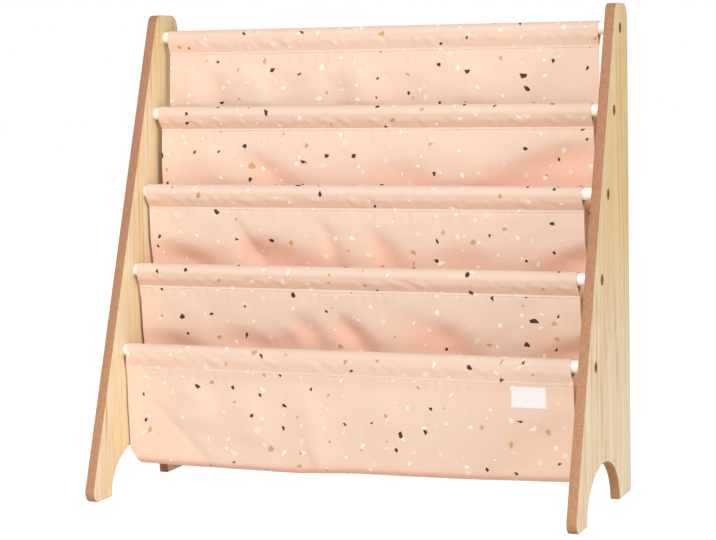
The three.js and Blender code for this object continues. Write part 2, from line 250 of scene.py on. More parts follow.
# Shader building
class Shade:
    """A node tree under construction, with one short call for each kind of node."""

    def __init__(self, tree: Tree) -> None:
        """Starts on the given tree."""
        self.tree = tree

    def node(self, kind: str, *values: Value, **settings: object) -> bpy.types.Node:
        """Adds a node.

        Args:
            kind: the node's type name.
            values: what its first inputs are fed with, in their order.
            settings: its plain settings, by name.

        Returns:
            The new node.
        """
        made = self.tree.nodes.new(kind)
        for key, value in settings.items():
            setattr(made, key, value)
        for socket, value in zip(made.inputs, values):
            self.feed(socket, value)
        return made

    def feed(self, socket: Socket, value: Value) -> None:
        """Links a socket to another, or sets it to a plain value.

        Args:
            socket: the input socket.
            value: an output socket, a plain value, or None to leave the socket alone.
        """
        if isinstance(value, Socket):
            self.tree.links.new(value, socket)
        elif value is not None:
            socket.default_value = value

    def math(self, operation: str, *values: Value, clamp: bool = False) -> Socket:
        """The result of a Math node."""
        return self.node("ShaderNodeMath", *values, operation=operation, use_clamp=clamp).outputs[0]

    def vector(self, operation: str, *values: Value) -> Socket:
        """The result of a Vector Math node; a scale's factor is its last value."""
        values = (values[0], None, None, values[1]) if operation == "SCALE" else values
        return self.node("ShaderNodeVectorMath", *values, operation=operation).outputs[0]

    def split(self, vector: Value) -> Sockets:
        """The three parts of a vector."""
        return self.node("ShaderNodeSeparateXYZ", vector).outputs

    def channels(self, colour: Value) -> Sockets:
        """The three channels of a colour."""
        return self.node("ShaderNodeSeparateColor", colour).outputs

    def join(self, first: Value, second: Value) -> Socket:
        """A flat vector made from two parts."""
        return self.node("ShaderNodeCombineXYZ", first, second).outputs[0]

    def turn(self, vector: Value, angle: Value) -> Socket:
        """A vector turned about Z by an angle in radians."""
        made = self.node("ShaderNodeVectorRotate", vector, None, None, angle, rotation_type="Z_AXIS")
        return made.outputs[0]

    def noise(self, vector: Value, scale: Value, detail: float = 2.0, rough: float = 0.5) -> Sockets:
        """A Noise Texture's outputs, about 0.5 on average: a number, Fac, and three in a Color."""
        return self.node("ShaderNodeTexNoise", vector, None, scale, detail, rough).outputs

    def wander(self, vector: Value, scale: float, reach: Value) -> Socket:
        """A smooth random step about zero, with one reach or one for each axis."""
        step = self.vector("SUBTRACT", self.noise(vector, scale)["Color"], MID_GREY)
        return self.vector("MULTIPLY" if isinstance(reach, tuple) else "SCALE", step, reach)

    def remap(self, value: Value, low: Value, high: Value, least: float = 0.0, most: float = 1.0) -> Socket:
        """A value carried smoothly from the range low to high to another, and held at its ends."""
        values = (value, low, high, least, most)
        return self.node("ShaderNodeMapRange", *values, interpolation_type="SMOOTHSTEP").outputs[0]

    def blend(self, share: Value, first: Value, second: Value, mode: str = "MIX") -> Socket:
        """Mixes two colours.

        Args:
            share: the second colour's share.
            first, second: the colours.
            mode: how they are mixed.

        Returns:
            The mixed colour.
        """
        made = self.node("ShaderNodeMix", data_type="RGBA", blend_type=mode)
        self.feed(made.inputs["Factor"], share)
        self.feed(made.inputs[6], first)
        self.feed(made.inputs[7], second)
        return made.outputs[2]

    def bump(self, height: Value, distance: float, strength: float = 0.5) -> Socket:
        """Bends the normal by a height.

        Args:
            height: the height, 0 to 1.
            distance: the size of a height of 1.
            strength: how much of it shows.

        Returns:
            The bent normal.
        """
        made = self.node("ShaderNodeBump")
        made.inputs["Distance"].default_value = distance
        made.inputs["Strength"].default_value = strength
        self.feed(made.inputs["Height"], height)
        return made.outputs[0]

    def group(self, tree: Tree, **values: Value) -> Sockets:
        """Places a node group with its own input values.

        Args:
            tree: the group's tree.
            values: the inputs' values, named as the sockets.

        Returns:
            The group's outputs.
        """
        made = self.node("ShaderNodeGroup", node_tree=tree)
        for key, value in values.items():
            self.feed(made.inputs[key], value)
        return made.outputs


@dataclass(frozen=True)
class GroupParts:
    """A shader group under construction: its tree, its Shade, what it is given and what it puts out."""

    tree: Tree
    shade: Shade
    given: Sockets
    result: Sockets

    def finish(self, **values: Socket) -> Tree:
        """Feeds the group's outputs.

        Args:
            values: what each output carries, by its name.

        Returns:
            The finished group.
        """
        for key, value in values.items():
            self.shade.feed(self.result[key], value)
        return self.tree


def new_group(name: str, outputs: tuple[str, ...], **numbers: float) -> GroupParts:
    """Starts a shader group that reads a place and a few numbers.

    Args:
        name: the group's name.
        outputs: the names of its outputs, each a number.
        numbers: its number inputs, each with its default value.

    Returns:
        The group's parts.
    """
    tree = bpy.data.node_groups.new(name, "ShaderNodeTree")
    tree.interface.new_socket("Vector", in_out="INPUT", socket_type="NodeSocketVector")
    for key, default in numbers.items():
        socket = tree.interface.new_socket(key, in_out="INPUT", socket_type="NodeSocketFloat")
        socket.default_value = default
    for key in outputs:
        tree.interface.new_socket(key, in_out="OUTPUT", socket_type="NodeSocketFloat")
    shade = Shade(tree)
    given, result = shade.node("NodeGroupInput"), shade.node("NodeGroupOutput")
    return GroupParts(tree, shade, given.outputs, result.inputs)


@dataclass(frozen=True)
class ChipCut:
    """How a chip is cut: its number of straight edges, its raggedness and the ranges of its draws."""

    sides: int = 5
    ragged_scale: float = 420.0
    ragged_reach: float = 0.5 * MM
    scatter: float = 0.82
    seed_slant: float = 1.7
    smallest: float = 0.8
    size_range: float = 0.62
    rarity: float = 2.2
    nearest_edge: float = 0.4
    edge_range: float = 0.8
    edge_turn: float = 1.1
    draw_step: Pair = (7.3, 5.7)
    draw_start: Pair = (1.1, 3.1)


def chip_group(cut: ChipCut) -> Tree:
    """One layer of scattered chips: small polygons with a random shape, turn and size in each cell.

    A chip is the inside of a few straight lines round a cell's own point: the largest of the
    point's distances past those lines is below zero inside it.

    Args:
        cut: how the chips are cut.

    Returns:
        The group, with a mask.
    """
    parts = new_group(
        "chips", ("Mask",), Cell=40 * MM, Size=3 * MM, Share=0.5, Stretch=0.5, Seed=0.0, Softness=0.12 * MM
    )
    shade, put = parts.shade, parts.given
    ragged = shade.wander(put["Vector"], cut.ragged_scale, cut.ragged_reach)
    place = shade.vector("ADD", put["Vector"], ragged)
    offset = shade.join(put["Seed"], shade.math("MULTIPLY", put["Seed"], cut.seed_slant))
    per_cell = shade.vector("SCALE", place, shade.math("DIVIDE", 1.0, put["Cell"]))
    in_cells = shade.vector("ADD", per_cell, offset)
    cells = shade.node("ShaderNodeTexVoronoi", in_cells, voronoi_dimensions="2D", feature="F1")
    cells.inputs["Scale"].default_value = 1.0
    cells.inputs["Randomness"].default_value = cut.scatter
    centre = cells.outputs["Position"]
    away = shade.vector("SCALE", shade.vector("SUBTRACT", in_cells, centre), put["Cell"])
    chance = shade.channels(cells.outputs["Color"])
    flat = shade.split(shade.turn(away, shade.math("MULTIPLY", chance[1], 2.0 * math.pi)))
    more = shade.node("ShaderNodeTexWhiteNoise", centre, noise_dimensions="2D")
    extra = shade.channels(more.outputs["Color"])
    long_side = shade.math("ADD", 1.0, shade.math("MULTIPLY", put["Stretch"], extra[0]))
    stretched = shade.join(shade.math("DIVIDE", flat[0], long_side), flat[1])
    spread = shade.math("MULTIPLY", shade.math("POWER", chance[2], cut.rarity), cut.size_range)
    size = shade.math("MULTIPLY", put["Size"], shade.math("ADD", cut.smallest, spread))
    past = None
    for side in range(cut.sides):
        shift = (cut.draw_step[0] * side + cut.draw_start[0], cut.draw_start[1], cut.draw_step[1] * side)
        moved = shade.vector("ADD", centre, shift)
        sample = shade.node("ShaderNodeTexWhiteNoise", moved, noise_dimensions="3D")
        draw = shade.channels(sample.outputs["Color"])
        reach = shade.math("ADD", cut.nearest_edge, shade.math("MULTIPLY", draw[0], cut.edge_range))
        jitter = shade.math("MULTIPLY", draw[1], cut.edge_turn)
        angle = shade.math("ADD", jitter, 2.0 * math.pi * side / cut.sides)
        square = shade.split(shade.turn(stretched, angle))
        distance = shade.math("SUBTRACT", square[0], shade.math("MULTIPLY", size, reach))
        past = distance if past is None else shade.math("MAXIMUM", past, distance)
    outside = shade.math("ADD", shade.math("DIVIDE", past, put["Softness"]), 0.5)
    inside = shade.math("SUBTRACT", 1.0, outside, clamp=True)
    present = shade.math("LESS_THAN", chance[0], put["Share"])
    return parts.finish(Mask=shade.math("MULTIPLY", inside, present))


def weave_group() -> Tree:
    """Plain weave: warp and weft threads cross over and under, with uneven thread thickness.

    The height is the larger of two rows of rounded threads, |sin| along each way, that take turns
    on top with the sign of sin x times sin y.

    Returns:
        The group, with a height and a tone.
    """
    parts = new_group("plain_weave", ("Height", "Tone"), Pitch=0.6 * MM, Slub=0.4)
    shade, put = parts.shade, parts.given
    drift_scale, drift_reach, over_lift = 60.0, 0.5 * MM, 0.25
    slub_across, slub_along = 900.0, 28.0
    place = shade.vector("ADD", put["Vector"], shade.wander(put["Vector"], drift_scale, drift_reach))
    flat = shade.split(shade.vector("SCALE", place, shade.math("DIVIDE", math.pi, put["Pitch"])))
    warp, weft = shade.math("SINE", flat[0]), shade.math("SINE", flat[1])
    over = shade.math("MULTIPLY", shade.math("SIGN", shade.math("MULTIPLY", warp, weft)), over_lift)
    warp_height = shade.math("ADD", shade.math("ABSOLUTE", warp), over)
    weft_height = shade.math("SUBTRACT", shade.math("ABSOLUTE", weft), over)
    height = shade.math("MAXIMUM", warp_height, weft_height)
    warp_slubs, weft_slubs = (
        shade.noise(shade.vector("MULTIPLY", put["Vector"], stretch), 1.0, 1.0)["Fac"]
        for stretch in ((slub_across, slub_along, 1.0), (slub_along, slub_across, 1.0))
    )
    slubs = shade.math("SUBTRACT", shade.math("ADD", warp_slubs, weft_slubs), 1.0)
    tone = shade.math("MULTIPLY", slubs, put["Slub"])
    return parts.finish(Height=shade.math("ADD", height, tone), Tone=tone)


def grain_group() -> Tree:
    """Straight wood grain along Z: broad bands, fine streaks and short dark pores.

    Each layer is a noise read at a place that is stretched along the grain: many turns across it
    for a metre, and few along it.

    Returns:
        The group, with a broad tone, a streak tone and a pore mask.
    """
    parts = new_group("straight_grain", ("Broad", "Streak", "Pores"), Contrast=1.0)
    shade, put = parts.shade, parts.given
    slow = shade.vector("MULTIPLY", put["Vector"], (4.0, 4.0, 2.2))
    place = shade.vector("ADD", put["Vector"], shade.wander(slow, 1.0, (0.03, 0.03, 0.0)))

    def layer(across: float, along: float, detail: float, rough: float = 0.5) -> Socket:
        """One layer of the grain, with its turns for a metre each way."""
        stretched = shade.vector("MULTIPLY", place, (across, across, along))
        return shade.noise(stretched, 1.0, detail, rough)["Fac"]

    broad, middle = layer(30.0, 0.9, 2.0), layer(150.0, 2.6, 3.0, 0.6)
    fine, pores = layer(620.0, 9.0, 2.0, 0.6), layer(1500.0, 45.0, 1.0)
    streak = shade.math("ADD", shade.math("MULTIPLY", middle, 0.6), shade.math("MULTIPLY", fine, 0.4))
    centred = shade.math("MULTIPLY", shade.math("SUBTRACT", streak, 0.5), put["Contrast"])
    return parts.finish(
        Broad=shade.remap(broad, 0.3, 0.7),
        Streak=shade.math("ADD", centred, 0.5, clamp=True),
        Pores=shade.remap(pores, 0.62, 0.74),
    )


def mottle_group() -> Tree:
    """Even mottle of a pressed or coated surface at two scales.

    Returns:
        The group, with a tone about 0.5 and a fine height.
    """
    parts = new_group("mottle", ("Tone", "Height"), Coarse=300.0, Fine=1400.0)
    shade, put = parts.shade, parts.given
    coarse, fine = (shade.noise(put["Vector"], put[key], 3.0)["Fac"] for key in ("Coarse", "Fine"))
    tone = shade.math("ADD", shade.math("MULTIPLY", coarse, 0.55), shade.math("MULTIPLY", fine, 0.45))
    return parts.finish(Tone=shade.remap(tone, 0.38, 0.62), Height=fine)


@dataclass(frozen=True)
class MaterialParts:
    """A material under construction: its Shade and its Principled shader's inputs."""

    material: Material
    shade: Shade
    inputs: Sockets

    def finish(self, colour: Value, normal: Value, roughness: Value = None) -> Material:
        """Feeds the shader.

        Args:
            colour: the base colour.
            normal: the bent normal.
            roughness: the roughness, or None to keep its plain value.

        Returns:
            The finished material.
        """
        for key, value in (("Base Color", colour), ("Normal", normal), ("Roughness", roughness)):
            self.shade.feed(self.inputs[key], value)
        return self.material


def new_material(name: str, roughness: float, **constants: float) -> MaterialParts:
    """Starts a material with its Principled shader.

    Args:
        name: the material's name.
        roughness: the shader's roughness.
        constants: other plain socket values, named with underscores for spaces.

    Returns:
        The material's parts.
    """
    material = bpy.data.materials.new(name)
    material.use_nodes = True
    shader = next(node for node in material.node_tree.nodes if node.type == "BSDF_PRINCIPLED")
    shader.inputs["Roughness"].default_value = roughness
    for key, value in constants.items():
        shader.inputs[key.replace("_", " ")].default_value = value
    return MaterialParts(material, Shade(material.node_tree), shader.inputs)


@dataclass(frozen=True)
class ChipLayer:
    """One colour of the chip print, with its cells, the chips' size and how many cells hold one."""

    colour: Colour
    cell: float
    size: float
    share: float
    seed: float
    strength: float = 1.0
    stretch: float = 0.4


@dataclass(frozen=True)
class ClothFinish:
    """Printed canvas: peach ground, four colours of scattered chips and a plain weave.

    The ground is painted deeper and redder in the hollows, as painted shade for the light that has passed
    through or between the cloth there; soft random clouds take a little of that tone too.
    """

    ground: Colour = srgb(236, 213, 196)
    # Tone of the painted shade in the hollows, and of the random clouds
    deep: Colour = srgb(247, 203, 180)
    layers: tuple[ChipLayer, ...] = (
        ChipLayer(srgb(250, 232, 220), 30 * MM, 2.5 * MM, 0.44, 11.0, 0.75),
        ChipLayer(srgb(255, 247, 236), 27 * MM, 2.2 * MM, 0.42, 23.0, 0.95),
        ChipLayer(srgb(212, 162, 108), 40 * MM, 2.45 * MM, 0.39, 37.0, 0.92),
        ChipLayer(srgb(79, 56, 45), 38 * MM, 2.5 * MM, 0.46, 53.0),
    )
    pitch: float = 0.62 * MM
    slub: float = 0.5
    slub_tone: float = 0.11
    cloud_scale: float = 9.0
    cloud_run: Pair = (0.3, 0.7)
    cloud_share: float = 0.18
    relief: float = 0.05 * MM

    def material(self, groups: Groups) -> Material:
        """The printed cloth, which follows the cloth's own UV map.

        Args:
            groups: the shader groups.

        Returns:
            The material.
        """
        parts = new_material(
            "printed_canvas", 0.7, Specular_IOR_Level=0.15, Sheen_Weight=0.03, Sheen_Roughness=0.5
        )
        shade = parts.shade
        flat = shade.node("ShaderNodeUVMap", uv_map=CLOTH_UV).outputs[0]
        weave = shade.group(groups["weave"], Vector=flat, Pitch=self.pitch, Slub=self.slub)
        clouds = shade.noise(flat, self.cloud_scale, 3.0)["Fac"]
        cloudy = shade.remap(clouds, *self.cloud_run, 0.0, self.cloud_share)
        # Painted shade: each sheet's shade attribute mixes the ground towards the deeper tone
        painted_shade = shade.node("ShaderNodeAttribute", attribute_name=PAINTED_SHADE).outputs["Fac"]
        colour = shade.blend(shade.math("ADD", painted_shade, cloudy, clamp=True), self.ground, self.deep)
        for layer in self.layers:
            sizes = {"Cell": layer.cell, "Size": layer.size, "Share": layer.share}
            chips = shade.group(groups["chips"], Vector=flat, Stretch=layer.stretch, Seed=layer.seed, **sizes)
            colour = shade.blend(shade.math("MULTIPLY", chips["Mask"], layer.strength), colour, layer.colour)
        thread = shade.math("ADD", shade.math("MULTIPLY", weave["Tone"], self.slub_tone), 1.0)
        normal = shade.bump(weave["Height"], self.relief)
        return parts.finish(shade.vector("SCALE", colour, thread), normal)


@dataclass(frozen=True)
class ThreadFinish:
    """Sewing thread: a twisted strand in the cloth's colour."""

    name: str = "cloth_thread"
    colour: Colour = srgb(247, 214, 192)
    dark: Colour = srgb(228, 176, 150)
    coarse: float = 900.0
    fine: float = 3600.0
    relief: float = 0.05 * MM
    relief_share: float = 0.6

    def material(self, groups: Groups) -> Material:
        """Thread, with a fine mottle for its twist.

        Args:
            groups: the shader groups.

        Returns:
            The material.
        """
        parts = new_material(self.name, 0.6, Sheen_Weight=0.1)
        shade = parts.shade
        place = shade.node("ShaderNodeTexCoord").outputs["Object"]
        mottle = shade.group(groups["mottle"], Vector=place, Coarse=self.coarse, Fine=self.fine)
        colour = shade.blend(mottle["Tone"], self.dark, self.colour)
        return parts.finish(colour, shade.bump(mottle["Height"], self.relief, self.relief_share))


@dataclass(frozen=True)
class BoardFaceFinish:
    """Pale wood-grain laminate of the board's faces; painted shade makes it gold near the top, so that it
    reads paler towards the foot.

    The painted shade reaches further down on the outer face, and away from the front edge a warmer painted
    tint stands in for light bounced from the cloth onto the board.
    """

    light: Colour = srgb(251, 237, 208)
    warm: Colour = srgb(248, 230, 193)
    streak: Colour = srgb(222, 181, 130)
    pore: Colour = srgb(206, 160, 108)
    # Painted shade towards the top
    painted_top_shade: Colour = (0.9, 0.83, 0.66, 1.0)
    # Painted tint for light bounced from the cloth, behind the front edge
    painted_bounce_light: Colour = (1.0, 0.93, 0.76, 1.0)
    contrast: float = 1.6
    streak_run: Pair = (0.47, 0.77)
    streak_share: float = 0.95
    pore_share: float = 0.3
    gloss_run: Pair = (0.3, 0.8)
    gloss: Pair = (0.5, 0.62)
    relief: float = 0.04 * MM
    relief_share: float = 0.35
    outer_reach: float = 312 * MM
    inner_shade_run: Pair = (300 * MM, 620 * MM)
    outer_shade_run: Pair = (130 * MM, 420 * MM)
    front_slope: float = 0.348
    bounce_light_run: Pair = (-125 * MM, -90 * MM)
    inner_bounce_light: float = 0.5

    def material(self, groups: Groups) -> Material:
        """The laminate, with grain along Z.

        Args:
            groups: the shader groups.

        Returns:
            The material.
        """
        parts = new_material("laminate_face", 0.55, Specular_IOR_Level=0.3)
        shade = parts.shade
        place = shade.node("ShaderNodeTexCoord").outputs["Object"]
        grain = shade.group(groups["grain"], Vector=place, Contrast=self.contrast)
        colour = shade.blend(grain["Broad"], self.light, self.warm)
        lines = shade.remap(grain["Streak"], *self.streak_run, 0.0, self.streak_share)
        colour = shade.blend(lines, colour, self.streak)
        colour = shade.blend(shade.math("MULTIPLY", grain["Pores"], self.pore_share), colour, self.pore)
        x, y, z = shade.split(place)
        outer = shade.math("GREATER_THAN", shade.math("ABSOLUTE", x), self.outer_reach)
        ends = zip(self.inner_shade_run, self.outer_shade_run)
        low, high = (shade.math("ADD", near, shade.math("MULTIPLY", outer, far - near)) for near, far in ends)
        # Painted shade: the faces turn gold by height towards the top, so that they read paler towards the
        # foot
        upper = shade.remap(z, low, high)
        colour = shade.blend(upper, colour, self.painted_top_shade, mode="MULTIPLY")
        # Painted light: behind the front edge a warm tint stands in for light bounced from the cloth
        slant = shade.math("SUBTRACT", y, shade.math("MULTIPLY", z, self.front_slope))
        inner = shade.math("MULTIPLY", shade.math("SUBTRACT", 1.0, outer), self.inner_bounce_light)
        depth = shade.math("MAXIMUM", inner, shade.math("MULTIPLY", outer, upper))
        behind = shade.math("MULTIPLY", shade.remap(slant, *self.bounce_light_run), depth)
        colour = shade.blend(behind, colour, self.painted_bounce_light, mode="MULTIPLY")
        height = shade.math("SUBTRACT", grain["Streak"], grain["Pores"])
        normal = shade.bump(height, self.relief, self.relief_share)
        return parts.finish(colour, normal, shade.remap(grain["Streak"], *self.gloss_run, *self.gloss))


@dataclass(frozen=True)
class BoardEdgeFinish:
    """Bare pressed-fibre edge of the board, sealed and a little uneven; painted shade darkens it towards the
    top, so that it reads paler towards the foot.
    """

    light: Colour = srgb(197, 152, 116)
    dark: Colour = srgb(179, 132, 98)
    fleck: Colour = srgb(150, 106, 76)
    # Painted shade towards the top
    upper: Colour = (0.88, 0.82, 0.86, 1.0)
    top_shade_run: Pair = (50 * MM, 400 * MM)
    coarse: float = 420.0
    fine: float = 1500.0
    fleck_scale: float = 700.0
    fleck_run: Pair = (0.64, 0.74)
    fleck_share: float = 0.6
    relief: float = 0.12 * MM

    def material(self, groups: Groups) -> Material:
        """The board's edge with its fibre mottle.

        Args:
            groups: the shader groups.

        Returns:
            The material.
        """
        parts = new_material("fibre_edge", 0.75, Specular_IOR_Level=0.25)
        shade = parts.shade
        place = shade.node("ShaderNodeTexCoord").outputs["Object"]
        mottle = shade.group(groups["mottle"], Vector=place, Coarse=self.coarse, Fine=self.fine)
        colour = shade.blend(mottle["Tone"], self.dark, self.light)
        spots = shade.noise(place, self.fleck_scale, 1.0)["Fac"]
        flecks = shade.remap(spots, *self.fleck_run, 0.0, self.fleck_share)
        colour = shade.blend(flecks, colour, self.fleck)
        # Painted shade: the edge darkens by height towards the top
        high = shade.remap(shade.split(place)[2], *self.top_shade_run)
        colour = shade.blend(high, colour, self.upper, mode="MULTIPLY")
        return parts.finish(colour, shade.bump(mottle["Height"], self.relief))


@dataclass(frozen=True)
class CoatFinish:
    """A mottled coat in one colour: powder coat, plating or moulded plastic."""

    name: str
    light: Colour
    dark: Colour
    roughness: float
    coarse: float
    fine: float
    relief: float
    metallic: float = 0.0
    coat: float = 0.0
    gloss: Pair = (0.9, 1.15)

    def material(self, groups: Groups) -> Material:
        """The coat, with an orange-peel surface and a slightly uneven gloss.

        Args:
            groups: the shader groups.

        Returns:
            The material.
        """
        parts = new_material(self.name, self.roughness, Metallic=self.metallic, Coat_Weight=self.coat)
        shade = parts.shade
        place = shade.node("ShaderNodeTexCoord").outputs["Object"]
        mottle = shade.group(groups["mottle"], Vector=place, Coarse=self.coarse, Fine=self.fine)
        colour = shade.blend(mottle["Tone"], self.dark, self.light)
        gloss = shade.remap(mottle["Tone"], 0.0, 1.0, *(self.roughness * share for share in self.gloss))
        return parts.finish(colour, shade.bump(mottle["Height"], self.relief), gloss)


@dataclass(frozen=True)
class TapeFinish:
    """Woven label tape, white and without any marking."""

    light: Colour = srgb(250, 253, 254)
    dark: Colour = srgb(243, 246, 247)
    pitch: float = 0.4 * MM
    slub: float = 0.3
    tone_run: Pair = (0.4, 1.1)
    relief: float = 0.04 * MM
    relief_share: float = 0.6

    def material(self, groups: Groups) -> Material:
        """The tape, with a close ribbed weave.

        Args:
            groups: the shader groups.

        Returns:
            The material.
        """
        parts = new_material("label_tape", 0.7, Sheen_Weight=0.15)
        shade = parts.shade
        flat = shade.node("ShaderNodeUVMap", uv_map=CLOTH_UV).outputs[0]
        weave = shade.group(groups["weave"], Vector=flat, Pitch=self.pitch, Slub=self.slub)
        colour = shade.blend(shade.remap(weave["Height"], *self.tone_run), self.dark, self.light)
        return parts.finish(colour, shade.bump(weave["Height"], self.relief, self.relief_share))


# The shelf's frame
@dataclass(frozen=True)
class ShelfSizes:
    """Driving sizes of the shelf, as in its construction, in metres."""

    outer_width: float = 630 * MM
    board: float = 12 * MM
    height: float = 610 * MM
    floor_length: float = 274 * MM
    top_length: float = 61.5 * MM
    front_foot: float = 54 * MM
    rear_foot: float = 60 * MM
    arch_height: float = 60 * MM
    front_foot_radius: float = 13 * MM
    rear_foot_radius: float = 5 * MM
    top_front_radius: float = 13 * MM
    top_rear_radius: float = 18 * MM
    rod_count: int = 5
    rod_radius: float = 8 * MM
    rod_wall: float = 1.2 * MM
    lowest_rod: float = 180 * MM
    top_rod_drop: float = 30 * MM
    lowest_setback: float = 39 * MM
    top_setback: float = 34.5 * MM

    @property
    def inner_half(self) -> float:
        """Half the clear width between the boards."""
        return self.outer_width / 2 - self.board

    @property
    def front_slope(self) -> float:
        """Run of the front edge back for each unit of height."""
        return (self.floor_length - self.top_length) / self.height

    @property
    def depth_middle(self) -> float:
        """Middle of the shelf's box, measured from the sharp front corner."""
        reach = self.front_foot_radius * (math.hypot(1, self.front_slope) + self.front_slope - 1)
        return (reach + self.floor_length) / 2

    @property
    def rod_rise(self) -> float:
        """Height from one rod to the next."""
        return (self.height - self.top_rod_drop - self.lowest_rod) / (self.rod_count - 1)

    def rod(self, index: int) -> Vector:
        """Finds the middle of a rod's axis, on a straight line from the top rod to the lowest.

        Args:
            index: the rod's number, 0 at the top.

        Returns:
            The point.
        """
        share = index / (self.rod_count - 1)
        height = self.height - self.top_rod_drop - index * self.rod_rise
        setback = self.top_setback + (self.lowest_setback - self.top_setback) * share
        return Vector((0.0, self.front_slope * height + setback - self.depth_middle, height))


@dataclass(frozen=True)
class SideBoard:
    """A side board: sloping front, rounded corners, arch, eased edges and countersunk screw holes."""

    sizes: ShelfSizes
    side: Side
    eased: float = 0.7 * MM
    eased_steps: int = 4
    corner_steps: int = 14
    arch_steps: int = 64
    run_step: float = 12 * MM
    hole_steps: int = 48
    head_radius: float = 6.8 * MM
    shank_radius: float = 3.3 * MM
    head_depth: float = 3.8 * MM
    head_rim: float = 0.6 * MM
    least_cosine: float = 0.5
    merge_distance: float = 1e-7
    sharp_degrees: float = 40.0

    def rounded(self, before: Array, corner: Array, after: Array, radius: float) -> Array:
        """Rounds a corner with the arc of a circle that touches both edges.

        The circle's centre lies on the line that halves the corner's angle, at the radius over the
        sine of the half angle.

        Args:
            before, corner, after: the corner and the corners next to it.
            radius: the circle's radius.

        Returns:
            Points of the arc.
        """
        to_before = (before - corner) / np.linalg.norm(before - corner)
        to_after = (after - corner) / np.linalg.norm(after - corner)
        half = math.acos(float(to_before @ to_after)) / 2
        start = corner + to_before * radius / math.tan(half)
        toward = (to_before + to_after) / np.linalg.norm(to_before + to_after)
        centre = corner + toward * radius / math.sin(half)
        first = math.atan2(*(start - centre)[::-1])
        angle = first + (math.pi - 2 * half) * np.linspace(0, 1, self.corner_steps + 1)
        return centre + radius * np.stack([np.cos(angle), np.sin(angle)], axis=1)

    def outline(self) -> Array:
        """Draws the side's outline, anticlockwise, with even steps along its straight runs.

        Returns:
            The outline's points in y and z.
        """
        s = self.sizes
        front, rear = -s.depth_middle, s.floor_length - s.depth_middle
        corners = np.array([[front, 0], [rear, 0], [rear, s.height], [rear - s.top_length, s.height]])
        radii = [s.front_foot_radius, s.rear_foot_radius, s.top_rear_radius, s.top_front_radius]
        arcs = [self.rounded(corners[i - 1], corners[i], corners[(i + 1) % 4], radii[i]) for i in range(4)]
        arch_start, arch_end = front + s.front_foot, rear - s.rear_foot
        angle = np.linspace(math.pi, 0, self.arch_steps + 1)
        middle, half = (arch_start + arch_end) / 2, (arch_end - arch_start) / 2
        arch = np.stack([middle + half * np.cos(angle), s.arch_height * np.sin(angle)], axis=1)
        stretches = [arcs[0], arch, arcs[1], arcs[2], arcs[3]]
        points = []
        for here, there in zip(stretches, stretches[1:] + stretches[:1]):
            run = np.linalg.norm(there[0] - here[-1])
            count = max(int(run / self.run_step), 1)
            share = np.linspace(0, 1, count + 1)[1:-1, None]
            points += [here, here[-1] + (there[0] - here[-1]) * share]
        return np.concatenate(points)

    def inward(self, outline: Array) -> Array:
        """Finds the step into the board at each outline point.

        It is square to the mean direction there, and longer by one over the cosine of half the
        bend, so that a ring moved by it keeps its distance from both edges.

        Args:
            outline: the outline's points.

        Returns:
            The steps.
        """
        ahead = np.roll(outline, -1, axis=0) - outline
        behind = outline - np.roll(outline, 1, axis=0)
        ahead /= np.linalg.norm(ahead, axis=1, keepdims=True)
        behind /= np.linalg.norm(behind, axis=1, keepdims=True)
        along = ahead + behind
        along /= np.linalg.norm(along, axis=1, keepdims=True)
        square = np.stack([-along[:, 1], along[:, 0]], axis=1)
        return square / np.maximum(np.sum(along * ahead, axis=1, keepdims=True), self.least_cosine)

    def arrises(self) -> tuple[Array, Array]:
        """Rows of the wall round the board, with a quarter circle at both arrises.

        Returns:
            Each row's distance out from the inner face, and its distance in from the outline.
        """
        angle = np.linspace(0, math.pi / 2, self.eased_steps)
        near, inset = self.eased * (1 - np.sin(angle)), self.eased * (1 - np.cos(angle))
        return np.concatenate([near[::-1], self.sizes.board - near]), np.concatenate([inset[::-1], inset])

    def cap(self, outline: Array, circles: list[Array]) -> tuple[Array, Array]:
        """Fills an outline with triangles round its holes.

        Args:
            outline: the outline's points.
            circles: each hole's points.

        Returns:
            All points, and the triangles' point numbers.
        """
        loops = [outline, *circles]
        points = np.concatenate(loops)
        edges, start = [], 0
        for loop in loops:
            count = len(loop)
            edges += [(start + i, start + (i + 1) % count) for i in range(count)]
            start += count
        vectors = [Vector(point) for point in points.tolist()]
        made = delaunay_2d_cdt(vectors, edges, [], 0, self.merge_distance)
        triangles = np.array(made[2])
        centres = np.array([list(vector) for vector in made[0]])[triangles].mean(axis=1)
        keep = self.inside(centres, outline)
        for circle in circles:
            middle = circle.mean(axis=0)
            radius = np.linalg.norm(circle[0] - middle)
            keep &= np.linalg.norm(centres - middle, axis=1) > radius * math.cos(math.pi / self.hole_steps)
        return points, triangles[keep]

    @staticmethod
    def inside(points: Array, outline: Array) -> Array:
        """Tells which points lie in an outline: a level ray from each crosses it an odd number of times.

        Args:
            points: the points.
            outline: the outline's points.

        Returns:
            True for each point inside.
        """
        level_run = 1e-12
        start, end = outline, np.roll(outline, -1, axis=0)
        y, z = points[:, :1], points[:, 1:]
        spans = (start[:, 1] > z) != (end[:, 1] > z)
        rise = np.where(end[:, 1] == start[:, 1], level_run, end[:, 1] - start[:, 1])
        crossing = start[:, 0] + (z - start[:, 1]) / rise * (end[:, 0] - start[:, 0])
        return np.sum(spans & (y < crossing), axis=1) % 2 == 1

    def placed(self, out: Array | float, section: Array) -> Array:
        """Puts points of the side's section into space.

        Args:
            out: their distance out from the board's inner face.
            section: their y and z.

        Returns:
            The points.
        """
        points = np.empty((*section.shape[:-1], 3))
        points[..., 0] = self.side.value * (self.sizes.inner_half + out)
        points[..., 1:] = section
        return points

